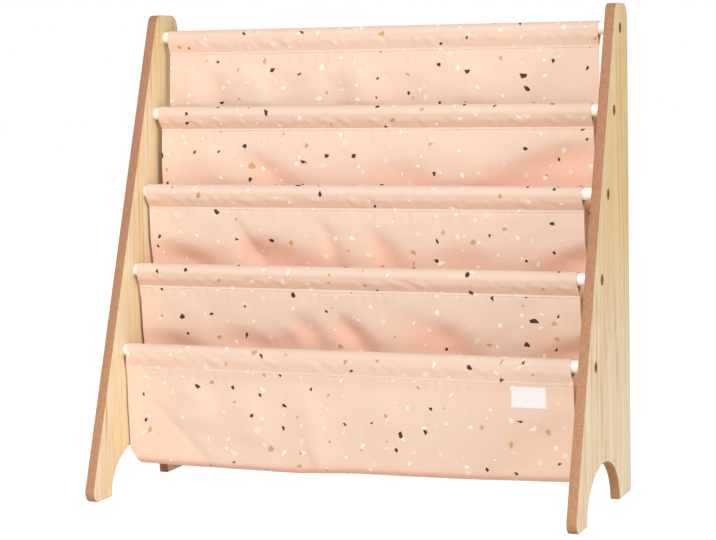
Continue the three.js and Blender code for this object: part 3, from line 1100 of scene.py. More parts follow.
    def build(self, face: Material, edge: Material) -> Piece:
        """Builds the board as one closed mesh: two faces, a wall with eased corners and stepped holes.

        Args:
            face: the finish of its faces.
            edge: the finish of its wall and holes.

        Returns:
            The board.
        """
        s = self.sizes
        flip = self.side is Side.RIGHT
        outline = self.outline()
        out, inset = self.arrises()
        rings = outline[None] + self.inward(outline)[None] * inset[:, None, None]
        wall = self.placed(out[:, None], rings)
        quads = quad_grid(*wall.shape[:2], wrap_columns=True)
        parts = [(wall, quads[:, ::-1] if flip else quads, 1)]
        angle = 2 * math.pi * np.arange(self.hole_steps) / self.hole_steps
        circle = np.stack([np.cos(angle), np.sin(angle)], axis=1)
        centres = [np.array(s.rod(index))[1:] for index in range(s.rod_count)]
        radius = np.array([self.shank_radius, self.shank_radius, self.head_radius, self.head_radius])
        along = np.array([0.0, s.board - self.head_depth, s.board - self.head_rim, s.board])
        quads = quad_grid(len(along), self.hole_steps, wrap_columns=True)
        for centre in centres:
            hole = self.placed(along[:, None], centre + circle * radius[:, None, None])
            parts.append((hole, quads if flip else quads[:, ::-1], 1))
        for end in (0, -1):
            flat, triangles = self.cap(rings[end], [centre + circle * radius[end] for centre in centres])
            outward = (end == -1) == flip
            parts.append((self.placed(along[end], flat), triangles if outward else triangles[:, ::-1], 0))
        starts = np.cumsum([0] + [points.size // 3 for points, _, _ in parts])
        piece = make_mesh(
            f"side_board_{self.side.label}",
            np.concatenate([points.reshape(-1, 3) for points, _, _ in parts]),
            [faces + start for (_, faces, _), start in zip(parts, starts)],
            [face, edge],
            [slot for _, _, slot in parts],
        )
        weld(piece)
        keep_corners_sharp(piece, self.sharp_degrees)
        return install(piece, "board", f"side_panel_{self.side.label}")


@dataclass(frozen=True)
class CrossRods:
    """The five white tubes, the plugs in their ends and the screws through the boards."""

    sizes: ShelfSizes
    steps: int = 64
    outside_rows: int = 13
    ease: float = 0.35 * MM
    ease_steps: int = 4
    screw_radius: float = 3 * MM
    head_radius: float = 6.5 * MM
    head_depth: float = 3.8 * MM
    head_rim: float = 0.6 * MM
    head_chamfer: float = 0.35 * MM
    socket_flats: float = 4 * MM
    socket_depth: float = 2.4 * MM
    socket_tip: float = 0.9 * MM
    socket_floor: float = 0.9
    socket_chamfer: float = 0.25 * MM
    thread_length: float = 16 * MM
    thread_chamfer: float = 0.5 * MM
    turn_by_rod: float = 0.4
    turn_by_side: float = 0.7
    tube_sharp_degrees: float = 40.0
    screw_sharp_degrees: float = 30.0

    def rim(self, reach: float, inward: int) -> Array:
        """Rounds a tube's outer rim with a quarter circle of the ease's size.

        Args:
            reach: where the tube ends along X.
            inward: 1 if the tube runs to +X from there, -1 if it runs to -X.

        Returns:
            Rows of (radius, reach).
        """
        angle = np.linspace(0, math.pi / 2, self.ease_steps)
        radius = self.sizes.rod_radius - self.ease * (1 - np.cos(angle))
        return np.stack([radius, reach + inward * self.ease * (1 - np.sin(angle))], axis=1)

    def tube(self, index: int, coat: Material) -> Piece:
        """Builds one tube: its section goes out along its outside, over the rim and back inside.

        Args:
            index: the rod's number, 0 at the top.
            coat: its finish.

        Returns:
            The tube.
        """
        s = self.sizes
        outer, inner, half = s.rod_radius, s.rod_radius - s.rod_wall, s.inner_half
        run = np.linspace(-half + self.ease, half - self.ease, self.outside_rows)
        outside = np.stack([np.full(self.outside_rows, outer), run], axis=1)
        right, left = self.rim(half, -1), self.rim(-half, 1)[::-1]
        bore = np.array([[inner, half], [inner, half / 3], [inner, -half / 3], [inner, -half]])
        profile = np.concatenate([left[:-1], outside, right[1:], bore])
        grid = turned(profile, s.rod(index), 1, self.steps)
        faces = quad_grid(*grid.shape[:2], wrap_rows=True, wrap_columns=True)
        piece = make_mesh(f"rod_tube_{index + 1}", grid.reshape(-1, 3), [faces], [coat])
        weld(piece)
        keep_corners_sharp(piece, self.tube_sharp_degrees)
        return install(piece, "rod", f"cross_rod_{index + 1}")

    def hexagon(self, angle: Array) -> Array:
        """Radius of the socket's hexagon: half its flats over the cosine to the nearest flat."""
        sector = math.pi / 3
        return self.socket_flats / 2 / np.cos((angle + sector / 2) % sector - sector / 2)

    def screw(self, index: int, side: Side, plate: Material) -> Piece:
        """Builds one countersunk screw with its hexagon socket, head flush with the board's face.

        Its section goes out of the socket, over the head and down the shank, as rows of a radius
        and a reach out from the board's face.

        Args:
            index: the rod's number, 0 at the top.
            side: the board that it goes through.
            plate: its finish.

        Returns:
            The screw.
        """
        s = self.sizes
        centre = s.rod(index)
        centre.x = side.value * s.outer_width / 2
        angle = 2 * math.pi * np.arange(self.steps) / self.steps
        flats = self.hexagon(angle)
        tip = -s.board - self.thread_length
        rows = [
            (0.0, -self.socket_depth - self.socket_tip),
            (self.socket_floor * flats, -self.socket_depth),
            (flats, -self.socket_depth),
            (flats, -self.socket_chamfer),
            (flats + self.socket_chamfer, 0.0),
            (self.head_radius - self.head_chamfer, 0.0),
            (self.head_radius, -self.head_chamfer),
            (self.head_radius, -self.head_rim),
            (self.screw_radius, -self.head_depth),
            (self.screw_radius, tip + self.thread_chamfer),
            (self.screw_radius - self.thread_chamfer, tip),
            (0.0, tip),
        ]
        radius = np.stack([np.broadcast_to(row[0], angle.shape) for row in rows])
        angle = angle + self.turn_by_rod * index + self.turn_by_side * side.value
        grid = np.empty((*radius.shape, 3))
        grid[:, :, 0] = centre.x + side.value * np.array([row[1] for row in rows])[:, None]
        grid[:, :, 1] = centre.y + radius * np.cos(angle)
        grid[:, :, 2] = centre.z + radius * np.sin(angle)
        faces = quad_grid(*grid.shape[:2], wrap_columns=True)
        name = f"screw_{side.label}_{index + 1}"
        piece = make_mesh(name, grid.reshape(-1, 3), [faces], [plate])
        weld(piece)
        keep_corners_sharp(piece, self.screw_sharp_degrees)
        return install(piece, "screw", f"panel_screw_{side.label}_{index + 1}")

    def build(self, materials: Materials) -> None:
        """Builds all tubes and screws, and gives the plugs their finish.

        Args:
            materials: the finishes, by the name of their use.
        """
        for index in range(self.sizes.rod_count):
            self.tube(index, materials["coat"])
            for side in Side:
                self.screw(index, side, materials["plate"])
                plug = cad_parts[f"rod_plug_{side.label}_{index + 1}"]
                plug.data.materials.clear()
                plug.data.materials.append(materials["plastic"])


# Cloth
@dataclass(frozen=True)
class Fold:
    """One fold of a hanging wall, in shares: across in half widths, drop in the rods' spacing.

    The depth is a share of the sling's fold depth, and negative for a ridge. The width narrows to
    the right of the fold with a positive lean, and to its left with a negative one.
    """

    start_across: float
    start_drop: float
    end_across: float
    end_drop: float
    width: float
    depth: float
    lean: float = 0.0


FOLDS = (
    (
        Fold(-0.93, 0.3, -0.89, 0.85, 0.09, -0.8, 0.2),
        Fold(-0.79, 0.4, -0.76, 0.95, 0.07, 0.7),
        Fold(-0.62, 0.3, -0.57, 0.85, 0.1, -0.9, 0.2),
        Fold(-0.42, 0.4, -0.4, 0.9, 0.08, 0.4),
        Fold(-0.2, 0.45, -0.17, 0.95, 0.07, 0.6),
        Fold(-0.09, 0.3, -0.05, 0.85, 0.1, -0.9, 0.2),
        Fold(0.1, 0.4, 0.13, 0.95, 0.12, 0.5),
        Fold(0.42, 0.3, 0.44, 0.8, 0.09, -0.5),
    ),
    (
        Fold(-0.8, 0.3, -0.72, 0.8, 0.1, -0.5),
        Fold(-0.6, 0.4, -0.38, 1.1, 0.1, 1.1),
        Fold(0.14, 0.55, 0.16, 1.1, 0.16, 0.8),
        Fold(0.44, 0.3, 0.46, 0.85, 0.1, -0.4),
        Fold(1.0, 0.26, 0.62, 1.12, 0.25, 1.9, -0.15),
    ),
    (
        Fold(-0.9, 0.6, -0.79, 1.25, 0.17, 2.3),
        Fold(-0.59, 0.25, -0.5, 0.85, 0.05, 0.55, 0.3),
        Fold(-0.52, 0.5, -0.36, 1.2, 0.16, 2.1, -0.35),
        Fold(-0.51, 0.6, -0.48, 1.2, 0.07, 1.1),
        Fold(-0.18, 0.28, -0.1, 1.0, 0.055, 0.85),
        Fold(0.06, 0.38, 0.14, 1.05, 0.075, 1.15, -0.1),
        Fold(0.45, 0.6, 0.47, 1.15, 0.15, 1.0),
        Fold(1.06, 0.55, 0.9, 1.15, 0.2, 2.0, -0.2),
    ),
    (
        Fold(-0.9, 0.74, -0.79, 1.3, 0.15, 1.55),
        Fold(-0.52, 0.66, -0.4, 1.25, 0.15, 1.4),
        Fold(-0.33, 0.68, -0.27, 1.15, 0.07, 0.8),
        Fold(-0.26, 0.44, -0.15, 1.1, 0.08, 1.2),
        Fold(-0.07, 0.45, 0.05, 1.1, 0.085, 1.8),
        Fold(0.24, 0.35, 0.34, 0.95, 0.13, 0.6),
        Fold(0.37, 0.48, 0.48, 1.15, 0.12, 1.1),
        Fold(1.06, 0.62, 0.9, 1.25, 0.2, 2.0, -0.2),
    ),
    (
        Fold(-0.93, 0.5, -0.63, 1.4, 0.03, 0.35, 0.3),
        Fold(-0.7, 0.3, -0.68, 0.85, 0.09, -0.8),
        Fold(-0.45, 0.4, -0.43, 1.0, 0.1, -0.8),
        Fold(-0.17, 0.3, -0.14, 1.2, 0.08, -0.8, 0.2),
        Fold(-0.2, 0.95, -0.15, 1.4, 0.035, 0.4, 0.3),
        Fold(0.16, 0.3, 0.17, 0.8, 0.1, -0.4),
        Fold(0.1, 1.0, 0.16, 1.5, 0.07, 0.4),
        Fold(1.0, 0.5, 0.76, 1.25, 0.15, 1.0),
    ),
)


@dataclass(frozen=True)
class Ripples:
    """Small random undulations of a cloth, as sums of sine waves with seeded turns and lengths.

    The ridges run at the slant from upright, in radians, and single waves turn from it by the
    spread. The rod's number goes into the seed, so each rod's cloth has waves of its own.
    """

    seed: int
    shortest: float
    longest: float
    height: float
    waves: int = 14
    slant: float = 0.0
    spread: float = 0.0

    def over(self, rod: int, x: Array, z: Array | float = 0.0) -> Array:
        """Works out the undulation at places on the cloth.

        It is the height times the sum of the waves' sines, over the root of half their number. A
        sine's argument is the way square to the wave's ridges over its length, plus its phase.

        Args:
            rod: the rod's number, 0 at the top.
            x, z: the places.

        Returns:
            The undulation at each place.
        """
        source = np.random.default_rng(self.seed + rod)
        length = source.uniform(self.shortest, self.longest, self.waves)
        phase = source.uniform(0, 2 * math.pi, self.waves)
        turn = self.slant + source.normal(0, self.spread, self.waves)
        way = x[..., None] * np.cos(turn) + np.asarray(z)[..., None] * np.sin(turn)
        waves = np.sin(2 * math.pi * way / length + phase).sum(axis=-1)
        return self.height * waves / math.sqrt(self.waves / 2)


@dataclass(frozen=True)
class SheetPiece:
    """A cloth's middle surface with what is needed to make it a closed sheet.

    The rim bulges by a share of the thickness.
    """

    points: Array
    places: Array
    thickness: Array
    # Painted shade of each point, 0 to 1, or None for none
    painted_shade: Array | None = None
    rim_bulge: float = 0.35
    sharp_degrees: float = 35.0

    def normals(self) -> Array:
        """Works out the surface's unit normals, as the cross product of its two slopes.

        Returns:
            The normal at each point.
        """
        down = np.gradient(self.points, axis=0)
        over = np.gradient(self.points, axis=1)
        normal = np.cross(down, over)
        return normal / np.linalg.norm(normal, axis=2, keepdims=True)

    def face_points(self, side: int) -> Array:
        """Points of one face of the sheet, half the thickness to one side of the middle surface."""
        return self.points + side * self.normals() * self.thickness[..., None] / 2

    def flat_size(self) -> tuple[float, float]:
        """Measures the cloth laid flat, along its grid lines.

        Returns:
            Its mean width and mean length.
        """
        down = np.linalg.norm(np.diff(self.points, axis=0), axis=2).sum(axis=0).mean()
        over = np.linalg.norm(np.diff(self.points, axis=1), axis=2).sum(axis=1).mean()
        return float(over), float(down)

    def build(self, name: str, material: Material) -> Piece:
        """Builds the closed sheet: both faces, joined by two bands of quads over a bulging rim line.

        Args:
            name: the piece's name.
            material: its finish.

        Returns:
            The sheet.
        """
        rows, columns = self.points.shape[:2]
        middle, thickness = self.points.reshape(-1, 3), self.thickness.reshape(-1)
        count = rows * columns
        quads = quad_grid(rows, columns)
        loop = np.concatenate([
            np.arange(columns),
            np.arange(1, rows) * columns + columns - 1,
            (rows - 1) * columns + np.arange(columns - 2, -1, -1),
            np.arange(rows - 2, 0, -1) * columns,
        ])
        inner = np.clip(loop // columns, 1, rows - 2) * columns + np.clip(loop % columns, 1, columns - 2)
        outward = middle[loop] - middle[inner]
        outward /= np.linalg.norm(outward, axis=1, keepdims=True)
        rim_points = middle[loop] + outward * thickness[loop][:, None] * self.rim_bulge
        rim = 2 * count + np.arange(len(loop))
        loop_next, rim_next = np.roll(loop, -1), np.roll(rim, -1)
        blocks = [
            quads,
            quads[:, ::-1] + count,
            np.stack([loop, loop_next, rim_next, rim], axis=1),
            np.stack([rim, rim_next, loop_next + count, loop + count], axis=1),
        ]
        faces = [self.face_points(side).reshape(-1, 3) for side in (1, -1)]
        piece = make_mesh(name, np.concatenate([*faces, rim_points]), blocks, [material])
        keep_corners_sharp(piece, self.sharp_degrees)
        flat = self.places.reshape(-1, 2)
        set_uv(piece, np.concatenate([flat, flat, flat[loop]]))
        # Painted shade is stored as a point attribute that darkens and reddens the cloth's colour
        if self.painted_shade is not None:
            painted_shade = self.painted_shade.reshape(-1)
            layer = piece.data.attributes.new(PAINTED_SHADE, "FLOAT", "POINT")
            layer.data.foreach_set("value", np.concatenate([painted_shade, painted_shade, painted_shade[loop]]).astype(np.float32))
        return piece


@dataclass(frozen=True)
class Stitching:
    """Rows of single stitches: short rounded strands that lie on the cloth and dip at both ends.

    The taper is the share of the half sine that each end leaves out, the fullness its power, and
    the dip a share of the width.
    """

    length: float = 2.5 * MM
    pitch: float = 3.3 * MM
    width: float = 0.42 * MM
    rings: int = 6
    sides: int = 6
    taper: float = 0.08
    fullness: float = 0.6
    dip: float = 0.55
    look_ahead: float = 0.5 * MM

    def strand(self) -> Array:
        """Shapes one stitch about the origin: a spindle along X whose radius is a half sine of its length.

        Returns:
            Its points, ring by ring.
        """
        along = np.linspace(0, 1, self.rings)
        rise = np.sin(math.pi * (self.taper + (1 - 2 * self.taper) * along))
        radius = self.width / 2 * rise**self.fullness
        sink = -self.dip * self.width * (1 - np.sin(math.pi * along)) ** 2
        angle = 2 * math.pi * np.arange(self.sides) / self.sides
        points = np.empty((self.rings, self.sides, 3))
        points[:, :, 0] = self.length * (along[:, None] - 0.5)
        points[:, :, 1] = radius[:, None] * np.cos(angle)
        points[:, :, 2] = radius[:, None] * np.sin(angle) + sink[:, None]
        return points

    def row(self, path: Array, normal: Array) -> Array:
        """Lays stitches along a path on the cloth.

        Args:
            path: points of the seam line.
            normal: the cloth's unit normal at each of them.

        Returns:
            The points of all stitches, one strand after the other.
        """
        reach = length_along(path)

        def read(line: Array, where: Array) -> Array:
            """Values of a line at some distances along the path."""
            return np.stack([np.interp(where, reach, line[:, axis]) for axis in range(3)], axis=1)

        where = np.arange(self.pitch, reach[-1] - self.pitch / 2, self.pitch)
        at = read(path, where)
        along = read(path, where + self.look_ahead) - at
        along /= np.linalg.norm(along, axis=1, keepdims=True)
        beside = np.cross(read(normal, where), along)
        beside /= np.linalg.norm(beside, axis=1, keepdims=True)
        axes = np.stack([along, beside, np.cross(along, beside)], axis=1)
        return at[:, None] + self.strand().reshape(-1, 3) @ axes

    def build(self, name: str, rows: list[Array], material: Material) -> Piece:
        """Builds one piece that holds all stitches of some rows, each strand closed by end faces.

        Args:
            name: the piece's name.
            rows: the rows' stitches.
            material: the thread.

        Returns:
            The piece.
        """
        strands = np.concatenate(rows)
        quads = quad_grid(self.rings, self.sides, wrap_columns=True)
        start = np.arange(self.sides)
        shift = (np.arange(len(strands)) * self.rings * self.sides)[:, None, None]
        ends = (start, (self.rings - 1) * self.sides + start[::-1])
        blocks = [(quads[None, :, ::-1] + shift).reshape(-1, 4)]
        blocks += [(end[None, None] + shift).reshape(-1, self.sides) for end in ends]
        return make_mesh(name, strands.reshape(-1, 3), blocks, [material])


@dataclass(frozen=True)
class LabelSizes:
    """The label's size, its place on the lowest pocket and its turned-in ends.

    Its tape is a single share of the thickness, and its ends are thicker by the doubled share.
    """

    width: float = 43 * MM
    height: float = 25 * MM
    thick: float = 0.5 * MM
    from_right: float = 32 * MM
    below_seam: float = 3.8 * MM
    gap: float = 0.12 * MM
    turned_in: float = 4 * MM
    turn_run: float = 0.5 * MM
    single: float = 0.75
    doubled: float = 0.35
    columns: int = 44
    rows: int = 26
    stitch_columns: tuple[int, int] = (2, -3)
    stitching: Stitching = Stitching(length=1.5 * MM, pitch=2.1 * MM, width=0.3 * MM)


@dataclass(frozen=True)
class Sling:
    """The cloth: a sleeve round each rod and four pockets that hang between the rods.

    Lengths are in metres. Starts, runs and shades are shares: across in half widths, and down in
    the rods' spacing.
    """

    sizes: ShelfSizes
    label: LabelSizes = LabelSizes()
    stitching: Stitching = Stitching()
    cloth: float = 0.6 * MM
    end_gap: float = 11 * MM
    seam_drop: float = 22.8 * MM
    seam_height: float = 2.6 * MM
    seam_setback: float = 2 * MM
    seam_row: int = 4
    layer_offset: float = 0.8 * MM
    layer_spread: float = 2 * MM
    layer_tuck: float = 0.36 * MM
    tuck_run: float = 4 * MM
    last_tuck_run: float = 12 * MM
    wall_overlap: float = 0.6 * MM
    pocket_floor: float = 31 * MM
    turn_rise: float = 12 * MM
    base_lift: float = 0.9 * MM
    edge_lift: float = 3.5 * MM
    edge_tilt: float = 0.35
    sag: float = 14 * MM
    sags: tuple[float, ...] = (-0.2, -0.2, 0.35, 0.75, 0.3)
    sag_rate: float = 1.6
    belly: float = 9 * MM
    belly_run: float = 0.5
    parting: float = 0.25
    hem: float = 9 * MM
    hem_step: float = 0.35 * MM
    hem_fade: float = 0.8 * MM
    hem_stitch_inset: float = 2 * MM
    columns: int = 236
    wall_rows: int = 52
    deep_rows: int = 40
    turn_rows: int = 26
    smooth_margin: int = 8
    smooth_passes: int = 6
    slides: tuple[float, ...] = (0.3, 0.35, 0.7, 0.55, 0.5)
    setbacks: tuple[float, ...] = (-0.6, 2.2, 1.5, 1.7, -1.5)
    flares: tuple[Pair, ...] = (
        (0, 0), (0, 0), (0, 0), (1.6 * MM, 1.0 * MM), (3.7 * MM, 1.8 * MM)
    )
    flare_start: float = 0.7
    corner_tuck: float = 10 * MM
    corner_rise: float = 27 * MM
    corner_start: float = 0.88
    left_droop: float = 3.9 * MM
    droop_end: float = 0.08
    droop_run: float = 0.38
    fold_depth: float = 5 * MM
    fold_top_width: float = 0.6
    fold_start: float = 0.5
    fold_fade: float = 0.33
    fold_lean_rate: float = 3.0
    # Strengths and runs of the painted shade: in folds, at the pockets' feet, round the turns and under the
    # sleeves
    shades: tuple[float, ...] = (0.4, 1.0, 1.0, 1.0, 0.35)
    sunk_depth: float = 1.6
    foot_shade: float = 0.42
    foot_start: float = 0.5
    foot_run: float = 0.4
    turn_shade: float = 0.5
    sleeve_shade: float = 0.55
    sleeve_shade_run: float = 0.7
    drape: Ripples = Ripples(40, 46 * MM, 150 * MM, 0.55 * MM, 14, 0.45, 0.5)
    crumple: Ripples = Ripples(60, 16 * MM, 46 * MM, 0.16 * MM, 22, 0.5, 0.8)
    pucker: Ripples = Ripples(80, 9 * MM, 24 * MM, 0.3 * MM, 18)
    pucker_fade: float = 9 * MM
    pucker_start: float = 3 * MM
    sleeve_gap: float = 0.9 * MM
    sleeve_half: float = 1.08 * MM
    arc_rows: int = 45
    run_rows: int = 12
    strip_rows: int = 8
    sleeve_top: float = 2 * MM
    slack: float = 0.9 * MM
    slack_start: float = 0.45
    slackness: Ripples = Ripples(20, 60 * MM, 190 * MM, 0.15 * MM)
    gather: Ripples = Ripples(80, 10 * MM, 34 * MM, 0.3 * MM, 18, 0.6, 0.3)
    lip: float = 0.12 * MM
    lip_run: float = 1.2 * MM
    print_across: float = 370 * MM
    print_along: float = 530 * MM
    sleeve_print: float = 10 * MM

    @property
    def half_width(self) -> float:
        """Half the cloth's width."""
        return self.sizes.inner_half - self.end_gap

    @property
    def pocket_depth(self) -> float:
        """Drop of a pocket's turn below its front rod."""
        return self.sizes.lowest_rod - self.pocket_floor

    @property
    def strip_drop(self) -> float:
        """Drop of a seam strip's upper end below its rod."""
        return self.seam_drop - self.seam_height

    @property
    def grid_across(self) -> Array:
        """Places of the columns across the cloth, from -1 at its left edge to 1."""
        return np.linspace(-1, 1, self.columns + 1)

    def middle(self, rod: int) -> float:
        """X of the cloth's middle on one rod."""
        return -self.slides[rod] * self.end_gap

    def seam_offset(self, rod: int) -> float:
        """Distance by which a seam hangs behind its rod's axis."""
        return self.setbacks[rod] * self.seam_setback

    def flare(self, rod: int, across: Array) -> Array:
        """Outward reach of the side edges below a rod, as a smooth step over the outer part of the width.

        Args:
            rod: the rod's number, 0 at the top.
            across: places across the cloth.

        Returns:
            The reach along X at each place.
        """
        left, right = self.flares[rod]
        run = 1 - self.flare_start
        out_left = smooth_step((-across - self.flare_start) / run)
        out_right = smooth_step((across - self.flare_start) / run)
        return right * out_right - left * out_left

    def fold(self, fold: Fold, across: Array, drop: Array) -> Array:
        """Shapes one fold, which slants across the wall and widens on its way down.

        It is a bell, e to the minus square of the distance from the fold's middle over its width,
        times a smooth rise below its start and a smooth fade past its end.

        Args:
            fold: the fold.
            across, drop: places on the wall.

        Returns:
            The fold's depth at each place.
        """
        along = (drop / self.sizes.rod_rise - fold.start_drop) / (fold.end_drop - fold.start_drop)
        middle = fold.start_across + (fold.end_across - fold.start_across) * along
        beside = across - middle
        spread = fold.width * (self.fold_top_width + (1 - self.fold_top_width) * smooth_step(along))
        spread = spread * (1 - fold.lean * np.tanh(self.fold_lean_rate * beside / spread))
        bell = np.exp(-((beside / spread) ** 2))
        window = smooth_step(along / self.fold_start) * (1 - smooth_step((along - 1) / self.fold_fade))
        return fold.depth * self.fold_depth * bell * window

    def small_folds(self, rod: int, across: Array, drop: Array) -> Array:
        """Soft slanting drape and the short puckers that a seam gathers under itself.

        The drape sets in smoothly below the seam. The puckers fade with e to the minus distance.

        Args:
            rod: the rod's number, 0 at the top.
            across, drop: places on the wall.

        Returns:
            The offset at each place.
        """
        x = across * self.half_width
        below = drop - self.seam_drop
        settle = smooth_step(below / (self.parting * self.sizes.rod_rise))
        soft = self.drape.over(rod, x, drop) + self.crumple.over(rod, x, drop)
        gathered = np.exp(-below / self.pucker_fade) * smooth_step(below / self.pucker_start)
        return soft * settle + self.pucker.over(rod, x) * gathered

    def wall_offset(self, rod: int, across: Array, drop: Array) -> Array:
        """Works out how far back from its rod's axis a wall hangs.

        The sag grows with one minus e to the minus drop and reaches its full size one spacing down.

        Args:
            rod: the rod's number, 0 at the top.
            across, drop: places on the wall.

        Returns:
            The level offset at each place.
        """
        below = (drop - self.seam_drop) / self.sizes.rod_rise
        settled = (1 - np.exp(-self.sag_rate * below)) / (1 - math.exp(-self.sag_rate))
        offset = self.seam_offset(rod) + self.sags[rod] * self.sag * np.maximum(settled, 0)
        for fold in FOLDS[rod]:
            offset = offset + self.fold(fold, across, drop) * smooth_step(below / self.parting)
        return offset + self.small_folds(rod, across, drop)

    def painted_shade(self, rod: int, across: Array, drop: Array) -> Array:
        """Works out the painted shade of a place on a wall, which darkens the cloth's colour in the wall's
        hollows.

        It is the sum of the folds' depths and of a smooth step towards the foot behind the next rod, where
        that rod's shade falls.

        Args:
            rod: the rod's number, 0 at the top.
            across, drop: places on the wall.

        Returns:
            The painted shade at each place, 0 to 1.
        """
        sunk = np.zeros(np.broadcast_shapes(across.shape, drop.shape))
        for fold in FOLDS[rod]:
            if fold.depth > 0:
                sunk = sunk + self.fold(fold, across, drop) / (self.sunk_depth * self.fold_depth)
        # Painted shade at the wall's foot, behind the next rod
        if 0 < rod < self.sizes.rod_count - 1:
            foot = (drop / self.sizes.rod_rise - self.foot_start) / self.foot_run
            sunk = sunk + self.foot_shade * smooth_step(foot)
        return self.shades[rod] * np.clip(sunk, 0, 1)

    def lift(self, pocket: int, across: Array) -> Array:
        """Height that a pocket's turn gains towards the side edges, with the square of the distance.

        Args:
            pocket: the pocket's number, 0 at the top.
            across: places across the cloth.

        Returns:
            The height at each place; the lowest pocket hangs lower on its left.
        """
        lift = self.base_lift + self.edge_lift * across * across * (1 + self.edge_tilt * across)
        if pocket < self.sizes.rod_count - 2:
            return lift
        return lift - self.left_droop * smooth_step((self.droop_end - across) / self.droop_run)

    def wall(self, pocket: int, wall: Wall, across: Array, drop: Array) -> Array:
        """Hangs a pocket's wall from its rod.

        Two walls hang from each inner rod and part smoothly below the seam, and a rear wall swells
        back in its belly.

        Args:
            pocket: the pocket's number, 0 at the top.
            wall: which of its walls.
            across, drop: places on the wall, with the drop below its own rod.

        Returns:
            Their y and z.
        """
        rod = pocket if wall is Wall.REAR else pocket + 1
        axis = self.sizes.rod(rod)
        front = wall is Wall.FRONT
        alone = front and rod == self.sizes.rod_count - 1
        below = drop - self.seam_drop
        tuck = -self.layer_tuck if alone else self.layer_tuck
        set_in = smooth_step(below / (self.last_tuck_run if alone else self.tuck_run))
        spread = tuck + (self.layer_offset - tuck) * set_in
        if front and not alone:
            spread = spread + self.layer_spread * smooth_step(below / (self.parting * self.sizes.rod_rise))
        belly = 0.0 if front else self.belly
        swell = belly * smooth_step((drop - self.pocket_depth) / (self.belly_run * self.sizes.rod_rise))
        y = axis.y + self.wall_offset(rod, across, drop) + swell + wall.value * spread
        return np.stack([y, axis.z - drop], axis=-1)

    def in_hem(self, across: Array) -> Array:
        """1 in the hems along the side edges and 0 between them, with a smooth step."""
        edge = self.half_width * (1 - np.abs(across))
        return 1 - smooth_step((edge - self.hem) / self.hem_fade)

    def cloth_places(self, number: int, along: Array) -> Array:
        """Places of a piece's grid on the printed cloth, moved on from piece to piece.

        Args:
            number: the piece's number, 0 at the top.
            along: each row's place along the cloth.

        Returns:
            The place of each point.
        """
        places = np.empty((len(along), self.columns + 1, 2))
        places[:, :, 0] = self.grid_across * self.half_width + self.print_across * number
        places[:, :, 1] = along[:, None] - self.print_along * number
        return places

    def pocket_section(self, pocket: int) -> tuple[Array, Array]:
        """A pocket's section at each column: down the rear wall, round a half ellipse, up the front wall.

        Each row's points past the rear wall's upper part are then replaced a few times by a quarter
        of both neighbours and half of themselves.

        Args:
            pocket: the pocket's number, 0 at the top.

        Returns:
            The points' y and z, and their painted shade.
        """
        across, top = self.grid_across, self.strip_drop + self.wall_overlap
        turn = (self.pocket_depth - self.turn_rise - self.lift(pocket, across))[None, :]
        drop = top + (turn - top) * np.linspace(0, 1, self.wall_rows + 1)[:, None]
        deep_drop = turn + self.sizes.rod_rise * np.linspace(0, 1, self.deep_rows + 1)[1:, None]
        level, deep_level = np.broadcast_to(across, drop.shape), np.broadcast_to(across, deep_drop.shape)
        upper = self.wall(pocket, Wall.REAR, level, drop)
        deep = self.wall(pocket, Wall.REAR, deep_level, deep_drop)
        front = self.wall(pocket, Wall.FRONT, level, drop)
        angle = math.pi * np.linspace(0, 1, self.turn_rows + 1)[1:-1, None]
        rear_y, front_y = deep[-1, :, 0], front[-1, :, 0]
        bend_y = (rear_y + front_y) / 2 + (rear_y - front_y) / 2 * np.cos(angle)
        bend = np.stack([bend_y, deep[-1, :, 1] - self.turn_rise * np.sin(angle)], axis=-1)
        section = np.concatenate([upper, deep, bend, front[::-1]])
        first, last = self.wall_rows + self.smooth_margin, -self.smooth_margin
        for _ in range(self.smooth_passes):
            beside = section[first - 1 : last - 1] + section[first + 1 : last + 1]
            section[first:last] = (beside + 2 * section[first:last]) / 4
        # Painted shade: the rear wall's hollows, half strength round the turn, and the front wall's own
        # hollows
        behind = self.painted_shade(pocket, across, np.concatenate([drop, deep_drop]))
        bent = np.full(bend.shape[:2], self.turn_shade)
        return section, np.concatenate([behind, bent, self.painted_shade(pocket + 1, across, drop)[::-1]])

    def pocket_sheet(self, pocket: int) -> SheetPiece:
        """Shapes a pocket's middle surface from its sections.

        On the way round the turn the cloth slides from its upper rod's place to its lower rod's.

        Args:
            pocket: the pocket's number, 0 at the top.

        Returns:
            The sheet.
        """
        across = self.grid_across
        section, painted_shade = self.pocket_section(pocket)
        rows = len(section)
        move = np.clip((np.arange(rows) - self.wall_rows) / (self.deep_rows + self.turn_rows), 0, 1)[:, None]
        middle = self.middle(pocket) * (1 - move) + self.middle(pocket + 1) * move
        flare = self.flare(pocket, across) * (1 - move) + self.flare(pocket + 1, across) * move
        points = np.empty((rows, self.columns + 1, 3))
        points[:, :, 0] = middle + across * self.half_width + flare
        points[:, :, 1:] = section
        if pocket == self.sizes.rod_count - 2:
            height = section[..., 1] - section[..., 1].min(axis=0)
            left_end = smooth_step((-across - self.corner_start) / (1 - self.corner_start))
            points[:, :, 0] += self.corner_tuck * smooth_step(1 - height / self.corner_rise) * left_end
        places = self.cloth_places(pocket, -length_along(points[:, self.columns // 2]))
        thickness = self.cloth + self.hem_step * self.in_hem(across)
        return SheetPiece(points, places, np.broadcast_to(thickness, points.shape[:2]), painted_shade)

